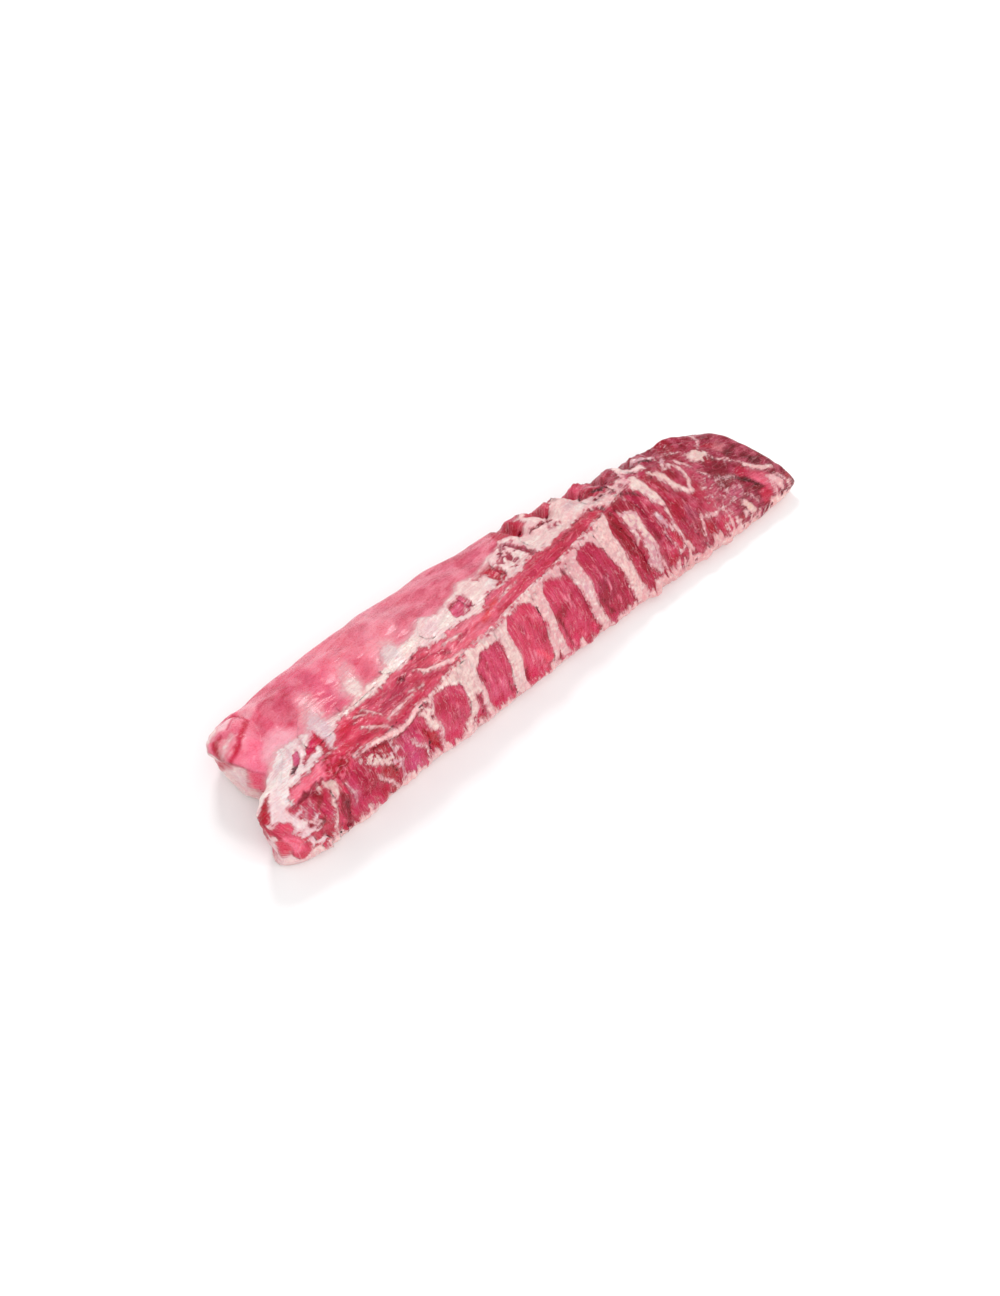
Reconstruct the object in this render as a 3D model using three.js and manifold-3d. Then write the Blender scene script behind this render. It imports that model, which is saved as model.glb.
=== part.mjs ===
// A whole bone-in pork loin, lying on its back-fat side, with the rib side and the chine bones showing.
// Millimetres. X runs along the loin from the sirloin end to the shoulder end, the ribs are at -Y,
// the smooth eye muscle is at +Y, and Z is up from the surface that the loin lies on.
import * as THREE from "three";
import { mergeVertices } from "three/addons/utils/BufferGeometryUtils.js";
import Module from "manifold-3d";

const wasm = await Module();
wasm.setup();

// Cross-sections along the loin. Each gives the rib edge, the crest beside the ribs, the chine line
// where bone meets the smooth muscle, the shoulder where that muscle turns down, and its outer edge.
const STATIONS = [
  { x: -272, rib: [-56, 9], crest: [-36, 45], chine: [2, 47], shoulder: [48, 43], outer: [72, 27] },
  { x: -200, rib: [-55, 9], crest: [-37, 53], chine: [10, 53], shoulder: [54, 45], outer: [75, 26] },
  { x: -140, rib: [-52, 9], crest: [-36, 58], chine: [13, 56], shoulder: [58, 46], outer: [79, 27] },
  { x: -76, rib: [-53, 9], crest: [-27, 64], chine: [18, 60], shoulder: [60, 46], outer: [80, 27] },
  { x: 0, rib: [-52, 9], crest: [-18, 67], chine: [30, 60], shoulder: [58, 47], outer: [77, 28] },
  { x: 60, rib: [-52, 9], crest: [-8, 66], chine: [38, 57], shoulder: [54, 50], outer: [68, 30] },
  { x: 110, rib: [-53, 9], crest: [5, 62], chine: [38, 55], shoulder: [48, 48], outer: [60, 28] },
  { x: 170, rib: [-55, 9], crest: [14, 57], chine: [32, 53], shoulder: [42, 46], outer: [53, 26] },
  { x: 230, rib: [-56, 9], crest: [10, 53], chine: [29, 51], shoulder: [39, 44], outer: [48, 24] },
  { x: 290, rib: [-55, 9], crest: [6, 49], chine: [24, 47], shoulder: [35, 41], outer: [44, 22] },
];
const NEAR_X = STATIONS[0].x;
const FAR_X = STATIONS[STATIONS.length - 1].x;
const EDGE_LIFT = 8;
const BASE_INSET = 9;
const FACE_BULGE = 3;
const FACE_MIDDLE = 0.42;
const CROWN_RISE = 2;

// How far each end reaches, at distances across the loin: two lobes with a notch between them at the
// sirloin end, and a slanting cut at the shoulder end. The change fades out towards the middle.
const NEAR_REACH = [
  [-58, -248], [-48, -264], [-36, -270], [-20, -268], [-8, -250], [4, -243], [16, -250], [30, -255],
  [46, -259], [60, -255], [72, -247], [80, -238],
];
const FAR_REACH = [
  [-60, 274], [-54, 290], [-42, 283], [-30, 275], [-14, 267], [4, 259], [20, 250], [32, 242], [46, 231],
];
const NEAR_FADE = 80;
const FAR_FADE = 120;

// How much further back the foot of the sirloin end lies than its top, at distances across the loin.
const NEAR_LEAN = [[-50, -4], [-38, -1], [-24, 8], [-6, 9], [14, 1], [30, 6], [50, 12]];
const NEAR_LEAN_TOP = 42;

// The edges tuck in under the loin, and the tucked part reaches no further than the edge above it.
const TUCK = 0.1;
const TUCK_TOP = 9;

const mix = (a, b, t) => a + (b - a) * t;
const clamp01 = (t) => Math.min(1, Math.max(0, t));
const smooth = (t) => clamp01(t) ** 2 * (3 - 2 * clamp01(t));
const hill = (t) => Math.exp(-(t ** 2));

// A smooth curve through [position, value] pairs, level beyond the first and the last.
function through(keys, at) {
  const last = keys.length - 1;
  let i = 0;
  while (i < last - 1 && at > keys[i + 1][0]) i++;
  const t = clamp01((at - keys[i][0]) / (keys[i + 1][0] - keys[i][0]));
  const [v0, v1, v2, v3] = [i - 1, i, i + 1, i + 2].map((k) => keys[Math.min(last, Math.max(0, k))][1]);
  const leave = (v2 - v0) / 2;
  const arrive = (v3 - v1) / 2;
  return (
    (2 * t ** 3 - 3 * t ** 2 + 1) * v1 +
    (t ** 3 - 2 * t ** 2 + t) * leave +
    (3 * t ** 2 - 2 * t ** 3) * v2 +
    (t ** 3 - t ** 2) * arrive
  );
}

// The closed outline of the cross-section at x. Its points are counted as marks: 3 is the rib edge,
// 6 the crest, 8 the chine line, 9 the shoulder and 10 the outer edge, and 11 to 2 lie underneath.
const MARKS = 13;

function sectionCurve(x) {
  const at = (name) => [0, 1].map((k) => through(STATIONS.map((s) => [s.x, s[name][k]]), x));
  const [rib, crest, chine, shoulder, outer] = ["rib", "crest", "chine", "shoulder", "outer"].map(at);
  const points = [
    [mix(rib[0], outer[0], 0.5), 0],
    [rib[0] + BASE_INSET * 2.6, 0],
    [rib[0] + BASE_INSET * 0.6, 0.6],
    rib,
    [rib[0] + 2, rib[1] + EDGE_LIFT],
    [mix(rib[0], crest[0], FACE_MIDDLE) - FACE_BULGE, mix(rib[1] + EDGE_LIFT, crest[1], 0.5) + FACE_BULGE],
    crest,
    [mix(crest[0], chine[0], 0.5), mix(crest[1], chine[1], 0.5) + CROWN_RISE],
    chine,
    shoulder,
    outer,
    [outer[0] - BASE_INSET, 1.5],
    [outer[0] - BASE_INSET * 3, 0],
  ];
  return new THREE.CatmullRomCurve3(points.map(([y, z]) => new THREE.Vector3(0, y, z)), true, "centripetal");
}

// The end warp: where a point of the straight loin really lies along it.
function alongWithEnds(x, pointY, z) {
  const y = pointY * (1 + TUCK * (1 - clamp01(z / TUCK_TOP)));
  const lean = through(NEAR_LEAN, y) * (1 - clamp01(z / NEAR_LEAN_TOP));
  const near = (through(NEAR_REACH, y) - NEAR_X + lean) * (1 - smooth((x - NEAR_X) / NEAR_FADE));
  const far = (FAR_X - through(FAR_REACH, y)) * (1 - smooth((FAR_X - x) / FAR_FADE));
  return x + near - far;
}

// The section's point at x and mark, and the way out of the meat there.
const NUDGE = 0.002;

function onSection(x, mark) {
  const curve = sectionCurve(x);
  const t = (((mark % MARKS) + MARKS) % MARKS) / MARKS;
  const p = curve.getPoint(t);
  const along = curve.getPoint((t + NUDGE) % 1).sub(curve.getPoint((t + 1 - NUDGE) % 1)).normalize();
  return { p: p.setZ(Math.max(0, p.z)), out: new THREE.Vector3(0, -along.z, along.y) };
}

// Relief of the meat: the rolled knob at the sirloin end with a groove round it, the lumps of muscle
// between the feather bones, and the soft unevenness of cut meat. It fades out towards the base.
const KNOB = { x: -252, mark: 9, length: 24, marks: 0.5, height: 4 };
const KNOB_GROOVE = { depth: 3, at: 1.25, width: 0.22 };
const LUMPS = { first: 59, pitch: 30.6, from: 36, to: 226, ease: 15, mark: 8.7, marks: 0.8, height: 2.6 };
const SWELL = { height: 1.1, long: 31, short: 19, ripple: 8.5, rippleShare: 0.6, fromEnd: 30 };
const RELIEF_FROM_Z = 4;
const RELIEF_FULL_Z = 16;

function knobRelief(x, mark) {
  const r = Math.hypot((x - KNOB.x) / KNOB.length, (mark - KNOB.mark) / KNOB.marks);
  return KNOB.height * hill(r ** 2) - KNOB_GROOVE.depth * hill((r - KNOB_GROOVE.at) / KNOB_GROOVE.width);
}

function lumpRelief(x, mark) {
  const inRange = smooth((x - LUMPS.from) / LUMPS.ease) * smooth((LUMPS.to - x) / LUMPS.ease);
  const wave = Math.cos(((x - LUMPS.first) / LUMPS.pitch) * 2 * Math.PI);
  return LUMPS.height * wave * inRange * hill((mark - LUMPS.mark) / LUMPS.marks);
}

function swellRelief(x, mark) {
  const swell = Math.sin(x / SWELL.short + 2 * mark) * Math.cos(x / SWELL.long - 3 * mark + 1);
  const ripple = SWELL.rippleShare * Math.sin(x / SWELL.ripple + 5 * mark);
  return SWELL.height * (swell + ripple) * smooth((x - NEAR_X) / SWELL.fromEnd);
}

// A point of the meat's surface with its relief, raised by lift and moved along by the end warp.
function surfacePoint(x, mark, lift = 0) {
  const { p, out } = onSection(x, mark);
  const aboveBase = smooth((p.z - RELIEF_FROM_Z) / (RELIEF_FULL_Z - RELIEF_FROM_Z));
  const relief = aboveBase * (knobRelief(x, mark) + lumpRelief(x, mark) + swellRelief(x, mark));
  p.addScaledVector(out, relief + lift);
  return p.setX(alongWithEnds(x, p.y, p.z));
}

// A closed solid through rings of equal length, closed by a fan at each end.
function loft(rings) {
  const count = rings[0].length;
  const centre = (r) => r.reduce((sum, p) => sum.add(p), new THREE.Vector3()).divideScalar(count);
  const points = [...rings.flat(), centre(rings[0]), centre(rings[rings.length - 1])];
  const first = points.length - 2;
  const last = points.length - 1;
  const end = (rings.length - 1) * count;
  const index = [];
  for (let k = 0; k < count; k++) {
    const next = (k + 1) % count;
    for (let i = 0; i < rings.length - 1; i++) {
      const a = i * count;
      const b = a + count;
      index.push(a + k, b + next, a + next, a + k, b + k, b + next);
    }
    index.push(first, k, next, last, end + next, end + k);
  }
  return new THREE.BufferGeometry().setFromPoints(points).setIndex(index);
}

// The marks at which the meat's rings have points: close together over the top, wider below.
const TOP_FROM = 2;
const TOP_TO = 11;
const TOP_SAMPLES = 3;
const BASE_SAMPLES = 2;
const RING_MARKS = Array.from({ length: MARKS }, (_, span) => {
  const samples = span >= TOP_FROM && span < TOP_TO ? TOP_SAMPLES : BASE_SAMPLES;
  return Array.from({ length: samples }, (_, k) => span + k / samples);
}).flat();
const RING_PITCH = 11.5;

// Each end, from its rounded edge inwards: [how far back the ring lies, its share of the full outline].
const END_RINGS = [
  [5, 0.985],
  [2, 0.94],
  [0, 0.84],
  [-1, 0.5],
  [-1.5, 0.12],
];
const END_LENGTH = 10;

// One ring of the meat. An end's ring is drawn in to a share of the outline, about its middle.
function meatRing(x, share = 1) {
  const points = RING_MARKS.map((mark) => surfacePoint(x, mark));
  points.forEach((p) => p.setZ(Math.max(0, p.z)));
  if (share === 1) return points;
  const middle = new THREE.Box3().setFromPoints(points).getCenter(new THREE.Vector3());
  return points.map((p) => {
    const y = mix(middle.y, p.y, share);
    const z = mix(middle.z, p.z, share);
    return new THREE.Vector3(alongWithEnds(x, y, z), y, z);
  });
}

function meat() {
  const from = NEAR_X + END_LENGTH;
  const to = FAR_X - END_LENGTH;
  const steps = Math.round((to - from) / RING_PITCH);
  return loft([
    ...[...END_RINGS].reverse().map(([back, share]) => meatRing(NEAR_X + back, share)),
    ...Array.from({ length: steps + 1 }, (_, i) => meatRing(mix(from, to, i / steps))),
    ...END_RINGS.map(([back, share]) => meatRing(FAR_X - back, share)),
  ]);
}

// Clearance between two pieces, and how many marks a millimetre makes across the loin's top.
const FIT_GAP = 0.35;
const MARKS_PER_MM = 0.05;

// Ribs. Each runs down the steep face from its head beside the crest to its sawn tip at the edge.
const RIBS = [
  { head: -214, tip: -222, width: 12 },
  { head: -172, tip: -168, width: 11 },
  { head: -129, tip: -123, width: 11 },
  { head: -84, tip: -84, width: 14 },
  { head: -41, tip: -38, width: 11 },
  { head: 2, tip: 3, width: 11 },
  { head: 44, tip: 53, width: 12 },
  { head: 85, tip: 98, width: 13 },
  { head: 114, tip: 125, width: 13 },
  { head: 141, tip: 154, width: 11 },
  { head: 168, tip: 183, width: 11 },
];
const RIB_HEAD_MARK = 5.82;
const RIB_TIP_MARK = 3.25;
const RIB_DEPTH = 6;
const RIB_PROUD = 0.9;
const RIB_STEPS = 8;
const RIB_WAIST = 0.22;
const RIB_END_SHARE = 0.7;
const RIB_UNDER_SHARE = 0.7;

// How far a cut for a piece is open above the surface.
const OPEN_ABOVE = 3;

// The corners across a rib, [along the loin, above the surface]: its narrower under side, its rims
// flush with the meat and its low ridge. Drawn for a cut, it is larger by the gap, and open above.
function ribCorners(half, gap) {
  const rim = half + gap;
  const under = half * RIB_UNDER_SHARE + gap;
  const ridge = [[0, RIB_PROUD]];
  const opening = [[-rim, OPEN_ABOVE], [rim, OPEN_ABOVE]];
  return [
    [under, -RIB_DEPTH - gap],
    [-under, -RIB_DEPTH - gap],
    [-rim, 0],
    ...(gap ? opening : ridge),
    [rim, 0],
  ];
}

function rib({ head, tip, width }, gap = 0) {
  const reach = gap * MARKS_PER_MM;
  const ringAt = (_, i) => {
    const t = i / RIB_STEPS;
    const x = mix(head, tip, t);
    const mark = mix(RIB_HEAD_MARK + reach, RIB_TIP_MARK - reach, t);
    const waist = 1 - RIB_WAIST * Math.sin(Math.PI * t);
    const half = (width / 2) * waist * (i === 0 ? RIB_END_SHARE : 1);
    return ribCorners(half, gap).map(([across, above]) => surfacePoint(x + across, mark, above));
  };
  return loft(Array.from({ length: RIB_STEPS + 1 }, ringAt));
}

// The outline of a piece bedded in the surface between two marks: bowed on top, upright at its edges
// and rounded below. Drawn for a cut, it is wider and deeper by the gap, and open above.
const BED_SIDES = 4;
const EDGE_DEPTH_SHARE = 0.3;

function bedded(x, from, to, { proud, depth, share }, gap) {
  const slack = gap * MARKS_PER_MM;
  const top = [];
  const under = [];
  for (let k = 0; k <= BED_SIDES; k++) {
    const t = k / BED_SIDES;
    const bow = Math.sin(Math.PI * t);
    const mark = mix(from - slack, to + slack, t);
    top.push(surfacePoint(x, mark, share * proud * bow + (gap ? OPEN_ABOVE : 0)));
    under.unshift(surfacePoint(x, mark, -share * depth * mix(EDGE_DEPTH_SHARE, 1, Math.sqrt(bow)) - gap));
  }
  return [...top, ...under];
}

// The long tapering muscle that lies along the crest, between the ribs and the chine bones. Its width is
// given in marks at places along the loin.
const CREST_WIDTH = [
  [-246, 0.34], [-225, 0.5], [-196, 0.9], [-175, 1.25], [-110, 1.2],
  [-84, 0.98], [-40, 0.8], [60, 0.72], [98, 0.5], [104, 0.2],
];
const CREST_FROM_MARK = 6.06;
const CREST_DEPTH = 7;
const CREST_PROUD = 2;
const CREST_PITCH = 12;
const CREST_FULL_WIDTH = 0.5;

function crestMuscle(gap = 0) {
  const from = CREST_WIDTH[0][0] - gap;
  const to = CREST_WIDTH[CREST_WIDTH.length - 1][0] + gap;
  const steps = Math.round((to - from) / CREST_PITCH);
  const ringAt = (_, i) => {
    const x = mix(from, to, i / steps);
    const width = through(CREST_WIDTH, x);
    const size = { proud: CREST_PROUD, depth: CREST_DEPTH, share: Math.min(1, width / CREST_FULL_WIDTH) };
    return bedded(x, CREST_FROM_MARK, CREST_FROM_MARK + width, size, gap);
  };
  return loft(Array.from({ length: steps + 1 }, ringAt));
}

// Chine bones: the vertebrae beside the crest muscle, each with a pointed process towards the eye muscle.
// low and high are the marks that a bone lies between.
const CHINE_BONES = [
  { x: -234, low: 6.95, high: 7.9, length: 30 },
  { x: -195, low: 7.15, high: 7.95, length: 36 },
  { x: -153, low: 7.45, high: 7.9, length: 36 },
  { x: -110, low: 7.42, high: 7.95, length: 36 },
  { x: -68, low: 7.2, high: 8, length: 34 },
  { x: -26, low: 7, high: 8, length: 30 },
  { x: 17, low: 6.95, high: 8, length: 32 },
  { x: 50, low: 6.9, high: 7.95, length: 26 },
  { x: 82, low: 6.9, high: 7.95, length: 26 },
  { x: 116, low: 6.6, high: 7.6, length: 24 },
  { x: 143, low: 6.4, high: 7.7, length: 22 },
  { x: 168, low: 6.4, high: 7.6, length: 20 },
];
const CHINE_DEPTH = 12;
const CHINE_PROUD = 1.2;
const CHINE_STEPS = 8;
const CHINE_END_SHARE = 0.45;
const PROCESS_REACH = 0.26;
const PROCESS_HALF_WIDTH = 9;

function chineBone({ x: middle, low, high, length }, gap = 0) {
  const ringAt = (_, i) => {
    const t = (2 * i) / CHINE_STEPS - 1;
    const x = middle + (t * length) / 2 + Math.sign(t) * gap;
    const share = mix(CHINE_END_SHARE, 1, Math.sqrt(1 - t ** 4));
    const half = (share * (high - low)) / 2;
    const process = PROCESS_REACH * hill((x - middle) / PROCESS_HALF_WIDTH);
    const centre = (low + high) / 2;
    const size = { proud: CHINE_PROUD, depth: CHINE_DEPTH, share };
    return bedded(x, centre - half, centre + half + process, size, gap);
  };
  return loft(Array.from({ length: CHINE_STEPS + 1 }, ringAt));
}

// A three.js geometry as a manifold-3d solid.
function solid(geometry) {
  const bare = new THREE.BufferGeometry().setAttribute("position", geometry.getAttribute("position"));
  const merged = mergeVertices(bare.setIndex(geometry.index));
  return new wasm.Manifold(
    new wasm.Mesh({
      numProp: 3,
      vertProperties: merged.getAttribute("position").array,
      triVerts: new Uint32Array(merged.index.array),
    }),
  );
}

// The largest single body of a solid, as a three.js geometry.
function geometryOf(made) {
  const largest = made.decompose().sort((a, b) => b.volume() - a.volume())[0];
  const { numProp, vertProperties, triVerts } = largest.getMesh();
  const count = vertProperties.length / numProp;
  const position = new THREE.BufferAttribute(new Float32Array(count * 3), 3);
  for (let i = 0; i < count; i++) {
    const from = i * numProp;
    position.setXYZ(i, ...vertProperties.subarray(from, from + 3));
  }
  const geometry = new THREE.BufferGeometry().setAttribute("position", position);
  return geometry.setIndex(new THREE.BufferAttribute(triVerts, 1));
}

const surface = (color, roughness) => new THREE.MeshStandardMaterial({ color, roughness, metalness: 0 });
const LEAN = surface(0xd4586e, 0.42);
const DARK_LEAN = surface(0xc64a62, 0.4);
const BONE = surface(0xeed3cc, 0.45);

const numbered = (word, i) => word + "_" + String(i + 1).padStart(2, "0");
const laid = new THREE.Group();
const cutters = [];

// Adds a piece, cut clear of the pieces laid before it.
function lay(name, geometry, material) {
  const cut = cutters.reduce((left, cutter) => left.subtract(cutter), solid(geometry));
  const mesh = new THREE.Mesh(geometryOf(cut), material);
  mesh.name = name;
  laid.add(mesh);
}

lay("crest_muscle", crestMuscle(), DARK_LEAN);
cutters.push(solid(crestMuscle(FIT_GAP)));
CHINE_BONES.forEach((bone, i) => {
  lay(numbered("chine_bone", i), chineBone(bone), BONE);
  cutters.push(solid(chineBone(bone, FIT_GAP)));
});
RIBS.forEach((bone, i) => {
  lay(numbered("rib", i), rib(bone), BONE);
  cutters.push(solid(rib(bone, FIT_GAP)));
});
lay("loin_meat", meat(), LEAN);

// The origin is the middle of the base.
const box = new THREE.Box3().setFromObject(laid);
const middle = box.getCenter(new THREE.Vector3());
laid.position.set(-middle.x, -middle.y, -box.min.z);

const loin = new THREE.Group();
loin.add(laid);

export default loin;
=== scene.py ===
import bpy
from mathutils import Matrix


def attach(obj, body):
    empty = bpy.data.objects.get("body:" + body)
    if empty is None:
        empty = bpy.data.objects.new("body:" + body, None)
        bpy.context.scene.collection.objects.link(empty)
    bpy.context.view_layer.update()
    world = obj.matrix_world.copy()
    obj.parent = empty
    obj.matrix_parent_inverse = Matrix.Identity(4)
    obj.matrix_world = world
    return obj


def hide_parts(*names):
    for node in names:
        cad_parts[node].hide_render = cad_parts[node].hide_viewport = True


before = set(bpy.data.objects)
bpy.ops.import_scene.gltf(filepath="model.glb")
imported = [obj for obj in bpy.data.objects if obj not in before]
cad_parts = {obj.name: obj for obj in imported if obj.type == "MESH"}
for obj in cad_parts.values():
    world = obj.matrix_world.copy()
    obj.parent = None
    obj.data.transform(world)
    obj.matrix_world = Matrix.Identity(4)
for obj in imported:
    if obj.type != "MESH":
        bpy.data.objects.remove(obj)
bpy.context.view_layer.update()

from types import SimpleNamespace

import bmesh
import bpy
import numpy as np
from mathutils import Vector

# The loin as a butcher lays it out: one long slab of raw pork, resting on the side its back fat was
# cut from. Its skin is read as a place along the loin in millimetres and a mark round the section:
# 3 is the rib edge, 6 the crest, 8 the chine line, 9 the shoulder, 10 the outer edge, 11 to 2 below.
MM = 0.001
DRAWING_ZERO = np.array([8.863, 12.085, 0.0])
SECTION_X = [-272, -200, -140, -76, 0, 60, 110, 170, 230, 290]
RIB_EDGE = [(-56, 9), (-55, 9), (-52, 9), (-53, 9), (-52, 9), (-52, 9), (-53, 9), (-55, 9), (-56, 9), (-55, 9)]
CREST = [(-36, 45), (-37, 53), (-36, 58), (-27, 64), (-18, 67), (-8, 66), (5, 62), (14, 57), (10, 53), (6, 49)]
CHINE_LINE = [(2, 47), (10, 53), (13, 56), (18, 60), (30, 60), (38, 57), (38, 55), (32, 53), (29, 51), (24, 47)]
SHOULDER = [(48, 43), (54, 45), (58, 46), (60, 46), (58, 47), (54, 50), (48, 48), (42, 46), (39, 44), (35, 41)]
OUTER_EDGE = [(72, 27), (75, 26), (79, 27), (80, 27), (77, 28), (68, 30), (60, 28), (53, 26), (48, 24), (44, 22)]
EDGE_LIFT = 8
BASE_INSET = 9
FACE_BULGE = 3
FACE_MIDDLE = 0.42
CROWN_RISE = 2
NEAR_REACH = [
    (-58, -248), (-48, -264), (-36, -270), (-20, -268), (-8, -250), (4, -243), (16, -250), (30, -255),
    (46, -259), (60, -255), (72, -247), (80, -238),
]
FAR_REACH = [(-60, 274), (-54, 290), (-42, 283), (-30, 275), (-14, 267), (4, 259), (20, 250), (32, 242), (46, 231)]
NEAR_LEAN = [(-50, -4), (-38, -1), (-24, 8), (-6, 9), (14, 1), (30, 6), (50, 12)]
NEAR_LEAN_TOP = 42
NEAR_FADE = 80
FAR_FADE = 120
TUCK = 0.1
TUCK_TOP = 9
MARKS = 13
NEAR_X, FAR_X = SECTION_X[0], SECTION_X[-1]


def smooth(t):
    t = np.clip(t, 0, 1)
    return t * t * (3 - 2 * t)


def hill(t):
    return np.exp(-(t ** 2))


def through(keys, at):
    """A smooth curve through (position, value) pairs, level beyond the first and the last."""
    keys = np.asarray(keys, float)
    last = len(keys) - 1
    i = np.clip(np.searchsorted(keys[:, 0], at, side="left") - 1, 0, last - 1)
    t = np.clip((at - keys[i, 0]) / (keys[i + 1, 0] - keys[i, 0]), 0, 1)
    v0, v1, v2, v3 = (keys[np.clip(i + step, 0, last), 1] for step in (-1, 0, 1, 2))
    leave, arrive = (v2 - v0) / 2, (v3 - v1) / 2
    rise = 3 * t ** 2 - 2 * t ** 3
    return (1 - rise) * v1 + (t ** 3 - 2 * t ** 2 + t) * leave + rise * v2 + (t ** 3 - t ** 2) * arrive


def outline_points(s):
    """The thirteen points of the cross-section at each place s, as (y, z)."""
    named = []
    for line in (RIB_EDGE, CREST, CHINE_LINE, SHOULDER, OUTER_EDGE):
        named.append([through([(x, p[axis]) for x, p in zip(SECTION_X, line)], s) for axis in (0, 1)])
    rib, crest, chine, shoulder, outer = named
    flat = np.zeros_like(s)
    points = [
        ((rib[0] + outer[0]) / 2, flat),
        (rib[0] + BASE_INSET * 2.6, flat),
        (rib[0] + BASE_INSET * 0.6, flat + 0.6),
        rib,
        (rib[0] + 2, rib[1] + EDGE_LIFT),
        (
            rib[0] + (crest[0] - rib[0]) * FACE_MIDDLE - FACE_BULGE,
            (rib[1] + EDGE_LIFT + crest[1]) / 2 + FACE_BULGE,
        ),
        crest,
        ((crest[0] + chine[0]) / 2, (crest[1] + chine[1]) / 2 + CROWN_RISE),
        chine,
        shoulder,
        outer,
        (outer[0] - BASE_INSET, flat + 1.5),
        (outer[0] - BASE_INSET * 3, flat),
    ]
    return np.stack([np.stack(p, -1) for p in points], 1)


def on_outline(points, mark):
    """The place at a mark of each closed outline, on an even curve through its points."""
    first = np.floor(mark).astype(int)
    w = (mark - first)[..., None]
    rows = np.arange(len(points)).reshape((-1,) + (1,) * (np.ndim(mark) - 1))
    p0, p1, p2, p3 = (points[rows, (first + step) % MARKS] for step in (-1, 0, 1, 2))
    d0, d1, d2 = (
        np.maximum(np.sum((b - a) ** 2, -1, keepdims=True), 1e-9) ** 0.25 for a, b in ((p0, p1), (p1, p2), (p2, p3))
    )
    t1 = ((p1 - p0) / d0 - (p2 - p0) / (d0 + d1) + (p2 - p1) / d1) * d1
    t2 = ((p2 - p1) / d1 - (p3 - p1) / (d1 + d2) + (p3 - p2) / d2) * d1
    return p1 + t1 * w + (3 * (p2 - p1) - 2 * t1 - t2) * w ** 2 + (2 * (p1 - p2) + t1 + t2) * w ** 3


def end_shift(y, z):
    """How far each end of the loin is drawn in at a place across it."""
    y = y * (1 + TUCK * (1 - np.clip(z / TUCK_TOP, 0, 1)))
    lean = through(NEAR_LEAN, y) * (1 - np.clip(z / NEAR_LEAN_TOP, 0, 1))
    return through(NEAR_REACH, y) - NEAR_X + lean, FAR_X - through(FAR_REACH, y)


def along_with_ends(s, near, far):
    return s + near * (1 - smooth((s - NEAR_X) / NEAR_FADE)) - far * (1 - smooth((FAR_X - s) / FAR_FADE))


# The skin's places, tabled every 2 mm along and every twentieth of a mark round.
TABLE_STEP = 2
MARK_STEP = 0.05
table_s = np.arange(NEAR_X - 12, FAR_X + 13, TABLE_STEP, dtype=float)
table_marks = np.arange(0, MARKS, MARK_STEP)
skin_table = on_outline(outline_points(table_s), np.tile(table_marks, (len(table_s), 1)))
skin_table[..., 1] = np.maximum(skin_table[..., 1], 0)
steps_round = np.linalg.norm(np.roll(skin_table, -1, 1) - skin_table, axis=-1)
CREST_COLUMN = int(6 / MARK_STEP)
round_table = np.cumsum(steps_round, 1) - steps_round
round_table -= round_table[:, CREST_COLUMN:CREST_COLUMN + 1]


# How the skin is read: steps in marks for its direction and its width, how far past the ends in mm, and
# the least mm in a mark.
NUDGE, SPAN = 0.02, 0.3
PAST_END, FAR_PAST_END = 10, 60.0
LEAST_PER_MARK = 4
HALVINGS, AT_ONCE = 36, 4000
TINY = 1e-9


def plain_skin(s, mark, around):
    """The skin before its relief, at s along, at a mark round and at mm round from the crest: its foot,
    the way out of the meat there, and how many millimetres make one mark."""
    outline = outline_points(np.clip(s, NEAR_X - PAST_END, FAR_X + PAST_END))
    along = on_outline(outline, mark + NUDGE) - on_outline(outline, mark - NUDGE)
    along /= np.maximum(np.linalg.norm(along, axis=-1, keepdims=True), TINY)
    across = on_outline(outline, mark + SPAN) - on_outline(outline, mark - SPAN)
    return SimpleNamespace(
        s=s, m=mark, b=around, k=np.maximum(np.linalg.norm(across, axis=-1) / (2 * SPAN), LEAST_PER_MARK),
        foot=on_outline(outline, mark), out=np.stack([-along[:, 1], along[:, 0]], -1),
    )


def place_on_loin(points):
    """Where points lie: s along, mark and mm round, height above the plain skin, and the skin there."""
    x, y, z = points.T
    near, far = end_shift(y, z)
    low, high = np.full(len(x), NEAR_X - FAR_PAST_END), np.full(len(x), FAR_X + FAR_PAST_END)
    for _ in range(HALVINGS):
        middle = (low + high) / 2
        past = along_with_ends(middle, near, far) > x
        low, high = np.where(past, low, middle), np.where(past, middle, high)
    s = (low + high) / 2
    row = np.clip((s - table_s[0]) / TABLE_STEP, 0, len(table_s) - 1.001)
    i = row.astype(int)
    f = (row - i)[:, None]
    mark, around = np.empty(len(s)), np.empty(len(s))
    for first in range(0, len(s), AT_ONCE):
        part = slice(first, first + AT_ONCE)
        fi, ii = f[part], i[part]
        ring = skin_table[ii] * (1 - fi[..., None]) + skin_table[ii + 1] * fi[..., None]
        nearest = np.sum((ring - points[part, None, 1:]) ** 2, -1).argmin(1)
        n = np.arange(len(nearest))
        before, after = ring[n, nearest - 1], ring[n, (nearest + 1) % len(table_marks)]
        chord = after - before
        t = np.sum((points[part, 1:] - before) * chord, -1) / np.maximum(np.sum(chord ** 2, -1), TINY)
        mark[part] = (nearest - 1 + 2 * np.clip(t, 0, 1)) * MARK_STEP % MARKS
        lengths = round_table[ii] * (1 - fi) + round_table[ii + 1] * fi
        around[part] = lengths[n, nearest] + (np.clip(t, 0, 1) - 0.5) * np.linalg.norm(chord, axis=-1)
    at = plain_skin(s, mark, around)
    at.y, at.z = y, z
    at.height = np.sum((points[:, 1:] - at.foot) * at.out, -1)
    return at


LATTICE = (61, 67)


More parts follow.
